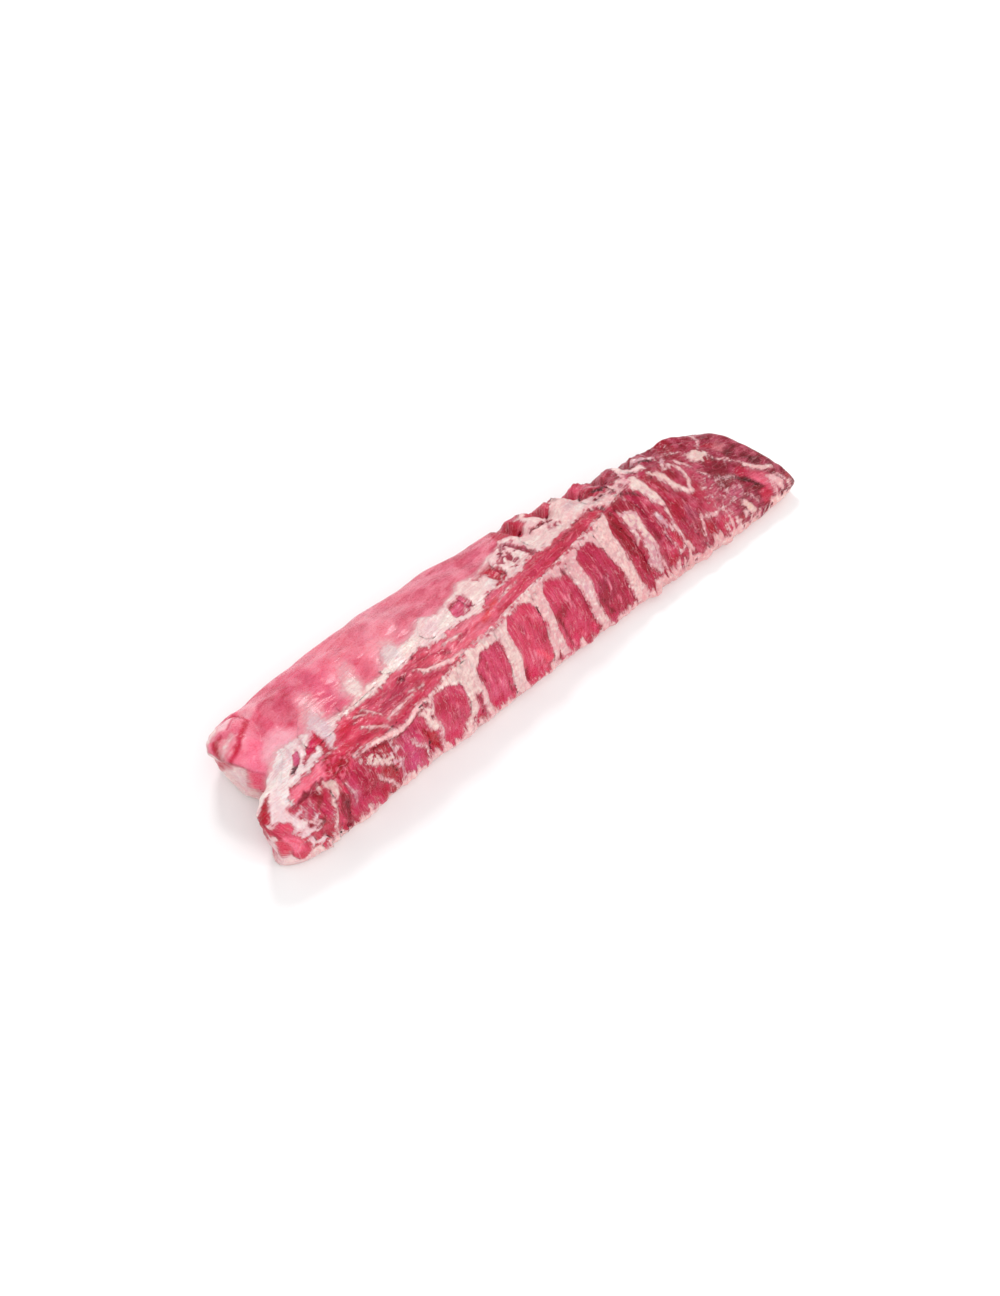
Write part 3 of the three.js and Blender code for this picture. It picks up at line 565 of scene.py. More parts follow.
for points, width, colour, tissue in (
    ([(126, 5.85), (123, 5.5), (120, 5.2), (121, 4.95)], 17, "#E6C6BC", "pale"),
    ([(121, 4.9), (119, 4.6), (121, 4.3)], 9, "#D6B8B4", "pale"),
    ([(126, 4.9), (125, 4.6), (129, 4.2)], 4, "#E4A8A8", "pale"),
    ([(110, 5.82), (107, 5.5), (105, 5.2), (106, 5.0)], 10, "#9C2842", "lean"),
    ([(106, 5.02), (113, 5.04)], 7, "#A83A50", "lean"),
    ([(110, 4.95), (110, 4.65), (111, 4.4)], 7, "#A02C46", "lean"),
    ([(117, 5.12), (118, 5.3)], 3, "#C4707C", "lean"),
    ([(119, 5.88), (127, 5.78), (133, 5.66)], 9, "#9E3448", "lean"),
    ([(131, 5.98), (140, 5.9), (144, 5.72)], 2.6, "#6E2230", "lean"),
    ([(139, 5.78), (137, 5.5), (134, 5.2), (133, 4.9)], 5, "#98304A", "lean"),
    # The lilac strand at 144 is a painted highlight on wet membrane.
    ([(144, 5.3), (145, 5.02)], 6, "#C4A0AE", "pale"), ([(149, 5.1), (149, 4.9)], 2, "#E4A0A4", "pale"),
    ([(141, 4.95), (142, 4.7), (146, 4.35)], 2, "#E89AA0", "pale"),
    ([(147, 6.02), (151, 5.82), (154, 5.62), (156, 5.4)], 12, "#E6CEC4", "pale"),
    ([(156, 5.42), (155, 5.2), (153, 4.95), (154, 4.75), (155, 4.5)], 4, "#E8B8B2", "pale"),
    ([(160, 5.94), (167, 5.75), (171, 5.48)], 4.5, "#A03448", "lean"),
    ([(168, 5.97), (177, 5.72), (180, 5.5), (186, 5.36), (194, 5.28)], 6.5, "#E6C4BA", "pale"),
    ([(186, 5.96), (196, 5.86), (200, 5.66), (198, 5.48), (193, 5.34)], 4.6, "#E2B8B0", "pale"),
    ([(180, 5.9), (189, 5.82)], 1.8, "#D8A0A0", "pale"),
    ([(203, 5.96), (206, 5.8), (213, 5.6)], 4.5, "#E2B4B2", "pale"),
    ([(183, 4.78), (179, 4.56), (176, 4.34)], 4, "#E0A6A6", "pale"),
    ([(183, 4.76), (191, 4.68), (200, 4.64)], 3, "#E0A6A6", "pale"),
    ([(204, 4.6), (206, 4.42)], 3, "#E8B4B4", "pale"), ([(211, 4.5), (211, 4.3)], 2.4, "#E0A0A4", "pale"),
    ([(225, 5.28), (236, 5.2), (247, 5.08)], 2.2, "#C87C88", "pale"),
    ([(214, 5.5), (222, 5.34)], 2.4, "#C87886", "pale"),
    ([(240, 5.82), (250, 5.6), (258, 5.42), (263, 5.24)], 3, "#DC9CA0", "pale"),
    ([(233, 4.64), (239, 4.54), (241, 4.3)], 2.6, "#E8AEAC", "pale"),
    ([(228, 4.44), (232, 4.1)], 9, "#E4BEAA", "pale"), ([(225, 4.6), (229, 4.5)], 3, "#D8949A", "pale"),
    ([(263, 5.18), (270, 4.98), (278, 4.76)], 6, "#E4B6B0", "pale"),
    ([(264, 4.98), (268, 4.9)], 3, "#8E5A60", "lean"), ([(268, 4.6), (268, 4.2)], 9, "#E2A6A6", "pale"),
    ([(262, 4.5), (260, 4.0), (262, 3.4)], 5, "#E89CA2", "pale"),
    ([(275, 4.5), (277, 4.1)], 3, "#E0A8A4", "pale"),
    ([(245, 5.04), (250, 4.93), (254, 4.78)], 6, "#58081A", "lean"),
    ([(248, 4.64), (253, 4.52)], 5, "#6E1226", "lean"), ([(157, 4.44), (159, 4.2)], 5, "#DEAAA4", "pale"),
    ([(146, 4.3), (152, 4.38)], 2.4, "#E8A4A8", "pale"),
    ([(250, 6.08), (258, 6.3), (264, 6.8), (270, 7.3), (279, 8.2)], 3, "#DA8E98", "pale"),
):
    coat(skin, tissue, colour, strand(points, width, 0.25), soft=2, height=0.4 if tissue == "pale" else -0.3)
coat(skin, "pale", "#DEC0B6", scraps(oval(219, 250, 5.62, 6.02), 4, 0.92, 90, 0.8), soft=2, height=0.4)
coat(skin, "veil", "#CE8E98", scraps(oval(108, 160, 4.2, 6.0), 2.6, 0.45, 97, 0.6), soft=2)
coat(skin, "pale", "#E4A8A8", scraps(band([(96, 3.0), (285, 3.0)], [(96, 3.9), (285, 4.0)]), 5, 0.34, 91, 1.0),
     soft=2.5, height=0.3)
coat(skin, "pale", "#D0929C", scraps(oval(196, 238, 4.55, 5.35), 1.5, 0.22, 99, 0.6), soft=1.5, height=0.3)
coat(skin, "tint", "#EC8694", oval(255, 270, 4.1, 5.05), soft=5, strength=0.6)
coat(skin, "lean", "#4A0614", strand([(249, 4.88), (252, 4.74), (254, 4.6)], 4), soft=1.5, height=-0.8)

# Where the chine ends: white gristle torn at the last vertebra, with dark pits in it, and then pale seams of
# fat between the shoulder muscles.
coat(skin, "pale", "#E0B4B2", scraps(oval(102, 152, 6.02, 7.05), 4.5, 0.75, 87), soft=2, height=0.4)
coat(skin, "veil", "#B0908E", oval(106, 120, 6.5, 6.98), soft=4, strength=0.8)
for s, m, size in ((108, 6.2, 4.5), (113, 6.75, 4), (121, 6.8, 6), (126, 6.66, 5), (130, 6.55, 4), (138, 6.4, 4)):
    half, half_m = size / 2, size / 50
    coat(skin, "lean", "#66303A", oval(s - half, s + half, m - half_m, m + half_m), soft=1.5, height=-0.7)
coat(skin, "lean", "#8A3444", strand([(95, 6.68), (103, 6.4), (110, 6.02)], 2.6), soft=1.5, height=-0.5)
coat(skin, "pale", "#D98A95", strand([(145, 6.2), (147, 6.7), (149, 7.2)], 5), soft=3)
coat(skin, "pale", "#EFD0CC", strand([(168, 6.75), (160, 6.9), (154, 7.4), (154, 8.2), (160, 9.1)], 8, 0.2),
     soft=3)
coat(skin, "pale", "#CFA0AC", strand([(172, 8.3), (182, 7.7), (188, 7.2)], 7), soft=3)
coat(skin, "tint", "#3E1018", strand([(172, 7.34), (184, 7.1)], 3), soft=1.5, height=-0.6)
coat(skin, "tint", "#9E2440", oval(206, 250, 7.3, 8.8, 30), soft=6, strength=0.8)
coat(skin, "pale", "#E6C2C6", strand([(196, 7.35), (207, 7.0), (216, 6.55), (224, 6.2)], 3), soft=2)
coat(skin, "pale", "#B07088", strand([(188, 6.05), (193, 6.3), (197, 6.6)], 5), soft=5)

# The sirloin end: the ends of the hip muscles, torn crimson where they left the bone, with white gristle and
# scraps of fat on them.
coat(skin, "lean", "#D06C8A", oval(-234, -225, 7.05, 7.5, 60), soft=1.5, height=-0.2)
coat(skin, "lean", "#4E2636", strand([(-229, 7.1), (-236, 7.0)], 3), soft=1.2, height=-0.9)
coat(skin, "lean", "#D0426A", strand([(-219, 7.05), (-210, 7.22), (-202, 7.42)], 7, 0.3), soft=1.5)
coat(skin, "lean", "#C8405A", strand([(-202, 7.36), (-200, 7.0), (-202, 6.7), (-206, 6.5)], 5, 0.1), soft=1.5)
coat(skin, "veil", "#EAB4C0", strand([(-226, 7.4), (-214, 7.62)], 4), soft=3, strength=0.6)
coat(skin, "lean", "#E47A88", band([(-245, 6.05), (-228, 6.1), (-208, 6.0)], [(-245, 6.35), (-228, 6.55),
     (-208, 6.66)]), soft=2, height=0.6)
# Painted highlight: a wide pale pink strand along the red band.
coat(skin, "tint", "#F49CA8", strand([(-243, 6.3), (-228, 6.42), (-212, 6.5)], 9), soft=5, strength=0.8)
coat(skin, "tint", "#8F2D42", strand([(-244, 6.05), (-232, 6.1), (-218, 6.1)], 3), soft=2)
coat(skin, "tint", "#C03052", oval(-214, -197, 5.75, 6.6, 20), soft=4, height=0.8)
coat(skin, "tint", "#A01A38", scraps(oval(-214, -197, 5.6, 6.7, 20), 2.4, 0.4, 88), soft=2)
coat(skin, "tint", "#EE8C9C", scraps(oval(-222, -186, 5.7, 6.9, 10), 2, 0.2, 98, 1.0), soft=1.5, height=0.3,
     strength=0.6)
coat(skin, "pale", "#E9C6CC", scraps(oval(-263, -243, 3.8, 5.6, 15), 4, 0.8, 89), soft=3)
coat(skin, "pale", "#E8C4CE", scraps(oval(-253, -233, 5.15, 6.0, 15), 2.4, 0.5, 104, 1.0), soft=2, height=0.3)
coat(skin, "pale", "#F0D8DA", strand([(-256, 6.9), (-257, 6.4), (-256, 5.8), (-251, 5.3)], 11, 0.2), soft=3)
for points, width, colour, tissue in (
    ([(-245, 5.5), (-237, 5.8), (-228, 5.98)], 9, "#BE4862", "lean"),
    ([(-230, 5.96), (-229, 5.6), (-233, 5.4)], 6, "#98203A", "lean"),
    ([(-250, 4.98), (-242, 5.1), (-234, 5.02)], 2.6, "#A82840", "lean"),
    ([(-249, 4.75), (-240, 4.72), (-231, 4.85)], 3.4, "#B02A46", "lean"),
    ([(-244, 5.94), (-244, 5.6), (-246, 5.4)], 2, "#E0A4B0", "pale"),
    ([(-238, 5.9), (-239, 5.5)], 2, "#D890A0", "pale"), ([(-225, 5.96), (-225, 5.78)], 4, "#E6C2B4", "pale"),
    ([(-228, 5.4), (-232, 5.1), (-236, 4.85)], 7, "#C84A6A", "lean"),
    ([(-246, 5.15), (-243, 5.0), (-244, 4.85)], 5, "#E4B8B4", "pale"),
    ([(-241, 4.95), (-243, 4.8)], 3, "#7A2A38", "lean"),
    ([(-221, 5.9), (-216, 5.7), (-218, 5.4)], 7, "#E4BEB4", "pale"),
    ([(-212, 5.8), (-213, 5.5)], 3, "#E2B2AC", "pale"),
    ([(-220, 5.5), (-226, 5.05), (-231, 4.5), (-233, 4.1)], 4, "#E9C0B8", "pale"),
    ([(-213, 5.1), (-215, 4.7), (-217, 4.2)], 12, "#9A2E46", "lean"),
    ([(-214, 4.9), (-212, 4.5)], 5, "#7E2038", "tint"), ([(-238, 4.5), (-240, 4.1)], 6, "#C23A56", "lean"),
    ([(-210, 5.7), (-209, 5.3)], 4, "#C84460", "lean"),
    ([(-206, 5.5), (-204, 5.0), (-206, 4.4)], 2.4, "#CC8094", "pale"),
    ([(-203, 4.9), (-202, 4.4)], 2, "#C87A8E", "pale"),
    ([(-271, 6.3), (-266, 6.5), (-263, 6.85)], 7, "#B42440", "lean"),
    ([(-274, 6.02), (-268, 6.0), (-264, 6.1)], 3, "#EFC0C2", "pale"),
    ([(-264, 5.7), (-259, 5.66)], 7, "#DC5870", "lean"),
    ([(-270, 5.2), (-269, 4.8), (-269, 4.4)], 9, "#EA8796", "lean"),
    ([(-276, 6.1), (-274, 5.7), (-275, 5.4)], 5, "#B8243E", "lean"),
    ([(-258, 4.0), (-258, 3.3)], 9, "#B8283C", "lean"), ([(-246, 4.1), (-246, 3.3)], 4, "#E6B0B4", "pale"),
    ([(-233, 4.1), (-234, 3.3)], 6, "#E3B3A4", "pale"), ([(-216, 4.1), (-216, 3.3)], 11, "#962E46", "lean"),
    ([(-226, 4.1), (-226, 3.3)], 4, "#C24A5E", "lean"),
):
    coat(skin, tissue, colour, strand(points, width, 0.3), soft=2, height=0.4 if tissue == "pale" else -0.2)
coat(skin, "tint", "#A42A4A", oval(-199, -182, 4.3, 5.8), soft=5, strength=0.65)
coat(skin, "tint", "#BC5876", oval(-208, -200, 4.2, 5.6), soft=5, strength=0.6)

# The knob of the eye muscle at its sirloin end: a pale, smooth middle inside a rim that the knife tore dark
# red, and the hot pink hollow below it.
coat(skin, "tint", "#FCDCDC", oval(-258, -236, 9.0, 9.5), soft=5, strength=0.8)
coat(skin, "pale", "#F7DAD8", oval(-272, -256, 9.1, 9.6, 10), soft=5)
for points, width, colour in (
    ([(-266, 9.66), (-248, 9.72), (-234, 9.56), (-228, 9.25), (-227, 8.95)], 5, "#CC3A58"),
    ([(-276, 8.66), (-268, 8.86), (-258, 8.94)], 4.4, "#B02440"),
    ([(-275, 8.54), (-256, 8.6), (-240, 8.74), (-226, 8.92)], 4, "#C42E4C"),
    ([(-250, 9.0), (-240, 9.1), (-232, 9.3)], 4, "#DE6A80"), ([(-252, 9.36), (-242, 9.44)], 3, "#D85E76"),
):
    coat(skin, "tint", colour, strand(points, width, 0.5), soft=2.5, height=-0.5, strength=0.9)
coat(skin, "pale", "#F0D0D0", strand([(-270, 8.72), (-261, 8.74), (-252, 8.78)], 4.5), soft=2)
coat(skin, "tint", "#F28A9E", strand([(-276, 8.12), (-258, 8.34), (-240, 8.46)], 9), soft=5, strength=0.8)

# Tendons on the crest muscle, with a dark line of painted shadow under the longest, and the white
# thread of membrane where this muscle was cut from the ribs, partly a painted highlight along the fat line's top.
threads = []
# Painted shadow: a dark line under the longest tendon.
coat(threads, "lean", "#98243E", strand([(-192, 5.93), (-176, 5.85), (-164, 5.72), (-150, 5.6), (-136, 5.72),
     (-122, 5.78)], 2.2), soft=1.5)
# Membrane thread, whose whiteness is partly a painted highlight along the upper edge of the fat line.
coat(threads, "pale", "#F3E2DA", strand([(-126, 5.86), (-104, 5.95), (-76, 5.99), (-33, 5.97), (0, 6.04),
     (24, 5.99), (50, 6.04), (80, 6.0), (104, 6.06), (124, 6.1), (140, 6.04)], 1.7), soft=1, height=0.8)
for points, width, rise in (
    ([(-191, 6.05), (-175, 5.98), (-165, 5.9), (-157, 5.8), (-150, 5.76), (-142, 5.79), (-134, 5.92),
     (-122, 5.88)], 5.2, 1.5),
    ([(-113, 6.8), (-106, 6.5), (-97, 6.33), (-88, 6.15), (-76, 6.08)], 3.8, 1.1),
    ([(-153, 6.26), (-143, 6.3), (-124, 6.3)], 2.8, 0.7), ([(-128, 6.45), (-116, 6.3)], 1.8, 0.5),
    ([(-81, 6.76), (-74, 6.64), (-66, 6.52)], 3.4, 0.6), ([(-172, 6.6), (-165, 6.32), (-157, 6.04)], 3, 0.7),
    ([(-161, 7.05), (-159, 6.8), (-156, 6.5)], 3, 0.5), ([(-170, 7.05), (-163, 6.85)], 2.2, 0.4),
    ([(-24, 6.45), (-12, 6.55), (-2, 6.5)], 1.8, 0.3), ([(-205, 6.62), (-196, 6.6)], 2.2, 0.3),
):
    coat(threads, "pale", "#F4C6C2", strand(points, width), soft=1.2, height=rise)

# The ragged fringe along the rib edge, where the flank was cut off: streaks of pale fat hang down it. The
# underside keeps a thin film of the back fat.
FRINGE_TOP = [
    (-275, 3.6), (-252, 3.3), (-246, 3.9), (-228, 3.8), (-222, 3.1), (-212, 3.1), (-206, 3.5), (-192, 3.55),
    (-160, 3.45), (-152, 3.65), (-140, 3.6), (-118, 3.45), (-112, 3.3), (-100, 3.35), (-90, 3.6), (-76, 3.35),
    (-64, 3.05), (-38, 3.5), (-26, 3.0), (-12, 3.4), (14, 3.4), (24, 3.0), (36, 3.4), (46, 3.2), (60, 3.05),
    (80, 3.3), (100, 3.7), (165, 3.8), (215, 3.9), (235, 3.7), (248, 3.3), (262, 3.7), (290, 3.6),
]


def fringe(at):
    """The fringe hangs in long streaks, which turn to round tufts towards the shoulder end."""
    far = smooth((at.s - 120) / 40)
    streaks = uneven(at, (3.2, 5 - 3.5 * far, 2.6, 31), (2.6, 3 - 2 * far, 7, 32))
    inside = streaks + (through(FRINGE_TOP, at.s) + 0.22 - at.m) * at.k * 0.45
    return np.where((at.m > 2) & (at.m < 5), inside, -DEEP_IN)


def fat_film(at):
    """The film lies on the underside, from below the outer edge to short of the rib edge."""
    below = np.where(at.m > 6, (at.m - 10.7) * at.k, (2.2 - at.m) * at.k)
    return below + 5 * patches(at.s, at.b, 13, 41) + 2 * patches(at.s, at.b, 4, 42)


FRINGE_TONE = tone((-270, "#EFC4C0"), (-100, "#EFC0BE"), (120, "#E2A4A4"), (290, "#E6B0AA"))
coat(skin, "pale", FRINGE_TONE, fringe, soft=2, height=0.3)
coat(skin, "pale", tone((-270, "#EFC6C1"), (290, "#E4B0AC")), fat_film, soft=3)


def plain_tissue(at, lean_colour, pale_colour):
    count = len(at.s)
    lean, pale = (np.tile(linear(colour), (count, 1)) for colour in (lean_colour, pale_colour))
    return lean, pale, np.full(count, -DEEP_IN), np.zeros(count)


def tissue_of(coats, at, lean, pale, cover, raised):
    """The lean and the pale colour, how far pale tissue reaches in mm, and the height it adds."""
    for c in coats:
        inside = c.shape(at)
        w = smooth(inside / c.soft + 0.5) * c.strength
        colour = c.colour(at) if callable(c.colour) else linear(c.colour)
        if c.tissue == "pale":
            pale += (colour - pale) * w[:, None]
            cover = np.maximum(cover, np.minimum(inside, DEEP_IN))
        elif c.tissue == "veil":
            pale += (colour - pale) * w[:, None]
        else:
            lean += (colour - lean) * w[:, None]
            if c.tissue == "lean":
                cover = np.minimum(cover, np.maximum(-inside, -DEEP_IN))
        raised += c.height * w
    return lean, pale, cover, raised


# The relief that the CAD part has too, in mm: the knob, the lumps and swell of the muscles, the crest
# muscle, the vertebrae and the ribs all stand out of the plain skin.
KNOB = SimpleNamespace(s=-252, mark=9, length=24, marks=0.5, height=4)
KNOB_GROOVE = SimpleNamespace(depth=3, at=1.25, width=0.22)
LUMPS = SimpleNamespace(first=59, pitch=30.6, start=36, end=226, ease=15, mark=8.7, marks=0.8, height=2.6)
SWELL = SimpleNamespace(height=1.1, long=31, short=19, ripple=8.5, ripple_share=0.6, from_end=30)
RELIEF_FROM_Z, RELIEF_FULL_Z = 4, 16
CREST_WIDTH = [
    (-246, 0.34), (-225, 0.5), (-196, 0.9), (-175, 1.25), (-110, 1.2), (-84, 0.98), (-40, 0.8), (60, 0.72),
    (98, 0.5), (104, 0.2),
]
CREST_FROM_MARK, CREST_PROUD, CREST_FULL_WIDTH = 6.06, 2, 0.5
CREST_MIDDLE, CREST_HALF_LENGTH = -71, 175
CHINE_BONES = [
    (-234, 6.95, 7.9, 30), (-195, 7.15, 7.95, 36), (-153, 7.45, 7.9, 36), (-110, 7.42, 7.95, 36),
    (-68, 7.2, 8, 34), (-26, 7, 8, 30), (17, 6.95, 8, 32), (50, 6.9, 7.95, 26), (82, 6.9, 7.95, 26),
    (116, 6.6, 7.6, 24), (143, 6.4, 7.7, 22), (168, 6.4, 7.6, 20),
]
CHINE_PROUD, CHINE_END_SHARE, PROCESS_REACH, PROCESS_HALF_WIDTH = 1.2, 0.45, 0.26, 9
RIBS = [
    (-214, -222, 12), (-172, -168, 11), (-129, -123, 11), (-84, -84, 14), (-41, -38, 11), (2, 3, 11),
    (44, 53, 12), (85, 98, 13), (114, 125, 13), (141, 154, 11), (168, 183, 11),
]
RIB_HEAD_MARK, RIB_TIP_MARK, RIB_PROUD, RIB_WAIST = 5.82, 3.25, 0.9, 0.22


def bow(mark, low, high):
    return np.sin(np.pi * np.clip((mark - low) / np.maximum(high - low, 1e-6), 0, 1))


def relief(at):
    above_base = smooth((at.foot[:, 1] - RELIEF_FROM_Z) / (RELIEF_FULL_Z - RELIEF_FROM_Z))
    r = np.hypot((at.s - KNOB.s) / KNOB.length, (at.m - KNOB.mark) / KNOB.marks)
    rise = KNOB.height * hill(r ** 2) - KNOB_GROOVE.depth * hill((r - KNOB_GROOVE.at) / KNOB_GROOVE.width)
    in_range = smooth((at.s - LUMPS.start) / LUMPS.ease) * smooth((LUMPS.end - at.s) / LUMPS.ease)
    wave = np.cos((at.s - LUMPS.first) / LUMPS.pitch * 2 * np.pi)
    rise += LUMPS.height * wave * in_range * hill((at.m - LUMPS.mark) / LUMPS.marks)
    swell = np.sin(at.s / SWELL.short + 2 * at.m) * np.cos(at.s / SWELL.long - 3 * at.m + 1)
    ripple = SWELL.ripple_share * np.sin(at.s / SWELL.ripple + 5 * at.m)
    rise += SWELL.height * (swell + ripple) * smooth((at.s - NEAR_X) / SWELL.from_end)
    rise *= above_base
    width = through(CREST_WIDTH, at.s)
    on_crest = (at.m > CREST_FROM_MARK) & (at.m < CREST_FROM_MARK + width)
    on_crest &= np.abs(at.s - CREST_MIDDLE) < CREST_HALF_LENGTH
    share = np.minimum(1, width / CREST_FULL_WIDTH)
    rise += np.where(on_crest, CREST_PROUD * share * bow(at.m, CREST_FROM_MARK, CREST_FROM_MARK + width), 0)
    for middle, low, high, length in CHINE_BONES:
        t = (at.s - middle) * 2 / length
        share = CHINE_END_SHARE + (1 - CHINE_END_SHARE) * np.sqrt(1 - np.clip(np.abs(t), 0, 1) ** 4)
        half, centre = share * (high - low) / 2, (low + high) / 2
        process = PROCESS_REACH * hill((at.s - middle) / PROCESS_HALF_WIDTH)
        on_bone = (np.abs(t) < 1) & ~on_crest
        rise += np.where(on_bone, CHINE_PROUD * share * bow(at.m, centre - half, centre + half + process), 0)
    for head, tip, width in RIBS:
        t = (RIB_HEAD_MARK - at.m) / (RIB_HEAD_MARK - RIB_TIP_MARK)
        half = width / 2 * (1 - RIB_WAIST * np.sin(np.pi * np.clip(t, 0, 1)))
        across = np.abs(at.s - (head + (tip - head) * t)) / half
        rise += np.where((t > 0) & (t < 1), RIB_PROUD * np.clip(1 - across, 0, 1), 0)
    return rise, above_base


# Cut meat stands a little higher than the plain shape at its lumps, sags between them, and bulges between
# the ribs at the ragged rib edge, which is more tattered towards both ends.
SAG = SimpleNamespace(lead=8, end=180, crown=1.4, depth=7, from_wave=0.1, mark=8.5, marks=0.9)
SAG_TUFTS = (1.1, 2, 5, 64)
BLOCK = SimpleNamespace(s=253, length=28, height=4.5)
DIP = SimpleNamespace(s=206, length=12, depth=1.5)
EDGE = SimpleNamespace(bulge=1.6, rib_half=3, ease=9, drawn_in=0.9, mark=3, marks=0.8, end=262, fade=25)
EDGE_TUFTS = ((1.2, 6, 6, 65), (0.9, 4, 3, 66))
TATTERED_FROM, TATTERED_TO, TATTERED_NEAR = 90, 214, -190


def swelling(at):
    in_range = smooth((at.s - LUMPS.start + SAG.lead) / LUMPS.ease) * smooth((SAG.end - at.s) / LUMPS.ease)
    wave = np.cos((at.s - LUMPS.first) / LUMPS.pitch * 2 * np.pi)
    sunk = SAG.depth * smooth((-wave - SAG.from_wave) / (1 - SAG.from_wave))
    sag = SAG.crown - sunk + uneven(at, SAG_TUFTS)
    block = BLOCK.height * hill((at.s - BLOCK.s) / BLOCK.length) - DIP.depth * hill((at.s - DIP.s) / DIP.length)
    rise = (sag * in_range + block) * hill((at.m - SAG.mark) / SAG.marks)
    near_rib = np.min([np.abs(at.s - tip) for _, tip, _ in RIBS], 0)
    far_tattered = 1.2 * smooth((at.s - TATTERED_FROM) / 20) * smooth((TATTERED_TO - at.s) / 12)
    tattered = 1 + far_tattered + 0.8 * smooth((TATTERED_NEAR - at.s) / 20)
    bulge = EDGE.bulge * smooth((near_rib - EDGE.rib_half) / EDGE.ease) - EDGE.drawn_in
    edge = (bulge + tattered * uneven(at, *EDGE_TUFTS)) * smooth((EDGE.end - at.s) / EDGE.fade)
    return rise + edge * hill((at.m - EDGE.mark) / EDGE.marks)


def fine_unevenness(at, down):
    """The grain of cut meat in mm, drawn out along the muscle or down the rib face, and low lumps of 7 mm."""
    along = 0.28 * patches(at.s / 5, at.b, 2.6, 5) + 0.2 * patches(at.s / 4 + at.b / 7, at.b, 1.7, 6)
    across = 0.26 * patches(at.s + at.b / 6, at.b / 6, 2.8, 7) + 0.2 * patches(at.s + at.b / 5, at.b / 5, 1.8, 8)
    return along * (1 - down) + across * down + 0.25 * patches(at.s, at.b, 7, 9)


# The two end faces are cut straight through the muscles. There (y, z) in millimetres stands for the
# place, and a face begins where the surface lies well below the skin, near an end.
near_face, far_face = [], []
coat(near_face, "pale", "#F3CFCD", lambda at: at.s * 0 + DEEP_IN)
for colour, shape, soft in (
    ("#C23C54", oval(-56, -46, 24, 50), 2),
    ("#D9556A", oval(-50, -40, 18, 38, 20), 2),
    ("#B5324A", oval(-30, -12, 18, 40, -60), 2),
    ("#C9475D", oval(-40, -24, 34, 50, -30), 2),
    ("#EE6F87", oval(0, 14, 18, 56), 3),
    ("#C4445A", strand([(26, 46), (40, 30), (54, 16), (62, 8)], 7), 3),
    ("#E07488", oval(50, 76, 4, 26, -20), 3),
    ("#E88C9B", oval(-34, -8, 4, 14), 4),
):
    coat(near_face, "lean", colour, shape, soft=soft)
coat(near_face, "veil", "#E7B0B8", oval(-44, -20, 4, 26, -20), soft=6, strength=0.6)
coat(near_face, "veil", "#DDB8C0", oval(14, 28, 8, 40), soft=6, strength=0.5)
coat(far_face, "tint", "#8E3145", lambda at: at.s * 0 + DEEP_IN)
coat(far_face, "tint", "#A9465A", oval(-46, -6, 6, 36, 30), soft=5)
coat(far_face, "tint", "#7A2639", oval(-10, 30, 20, 46, -20), soft=6)
coat(far_face, "pale", "#E3B3B0", strand([(-52, 20), (-36, 26), (-22, 38), (-14, 50)], 3.2), soft=2)
coat(far_face, "pale", "#E8BDB7", strand([(-50, 6), (-20, 8), (0, 16), (16, 14), (38, 12)], 3.6), soft=2)
coat(far_face, "pale", "#DFAAA9", strand([(0, 16), (6, 30), (2, 50)], 2.6), soft=2)
coat(far_face, "pale", "#EAC3BB", lambda at: 3.5 - at.m + 1.5 * patches(at.s, at.m, 8, 51), soft=2)
FACE_FROM, FACE_DEEP = 14, 2.5
FACE_LEAN, FACE_PALE = "#C4485C", "#F0CBC8"
# The last of these colours is painted shade, laid into the hollows of pale tissue.
PLAIN_LEAN, PLAIN_PALE, PALE_HOLLOW_SHADE_COLOUR = "#C6566A", "#EBC6C2", "#D08E98"
# Wet muscle scatters light and looks paler than its pigment, so the pigment is laid deeper than it reads.
PIGMENT_DEPTH = np.array([1.0, 1.37, 1.24])
DARK_GREEN, DARK_DEPTH = 0.1, np.array([0.0, 0.45, 0.2])
# The sirloin end is torn more than the rest, and painted light makes the lean paler on ridges of cut meat.
SIRLOIN_FROM, SIRLOIN_TEAR = -200, 1.5
RIDGE_PAINTED_LIGHT = 0.8
# The edges of coats wander along and round the loin, and fray into tufts near the crest.
ALONG_WANDER = ((1.4, 1, 15, 1), (0.7, 2, 5, 2))
ROUND_WANDER = ((1.5, 1, 12, 3), (0.9, 1, 5, 4))
CREST_FRAY = (1.6, 6, 2.2, 62)
THREAD_WANDER = 0.4
# Fibres run down the rib face, below this mark and as far along as this. Pale tissue stands this proud of
# the lean. Painted shade darkens the lean in the hollows between fibres and turns the pale tissue pinker there.
DOWN_MARK, DOWN_TO = 6.0, 215
PALE_PROUD, SUNK = 0.6, 0.4
FINE_GAIN, HOLLOW_SHADE_DARKENING, PALE_HOLLOW_SHADE_SHARE = 1.6, 0.3, 0.4
SLEEK_TO, SLEEK_EDGE = 40, 0.35


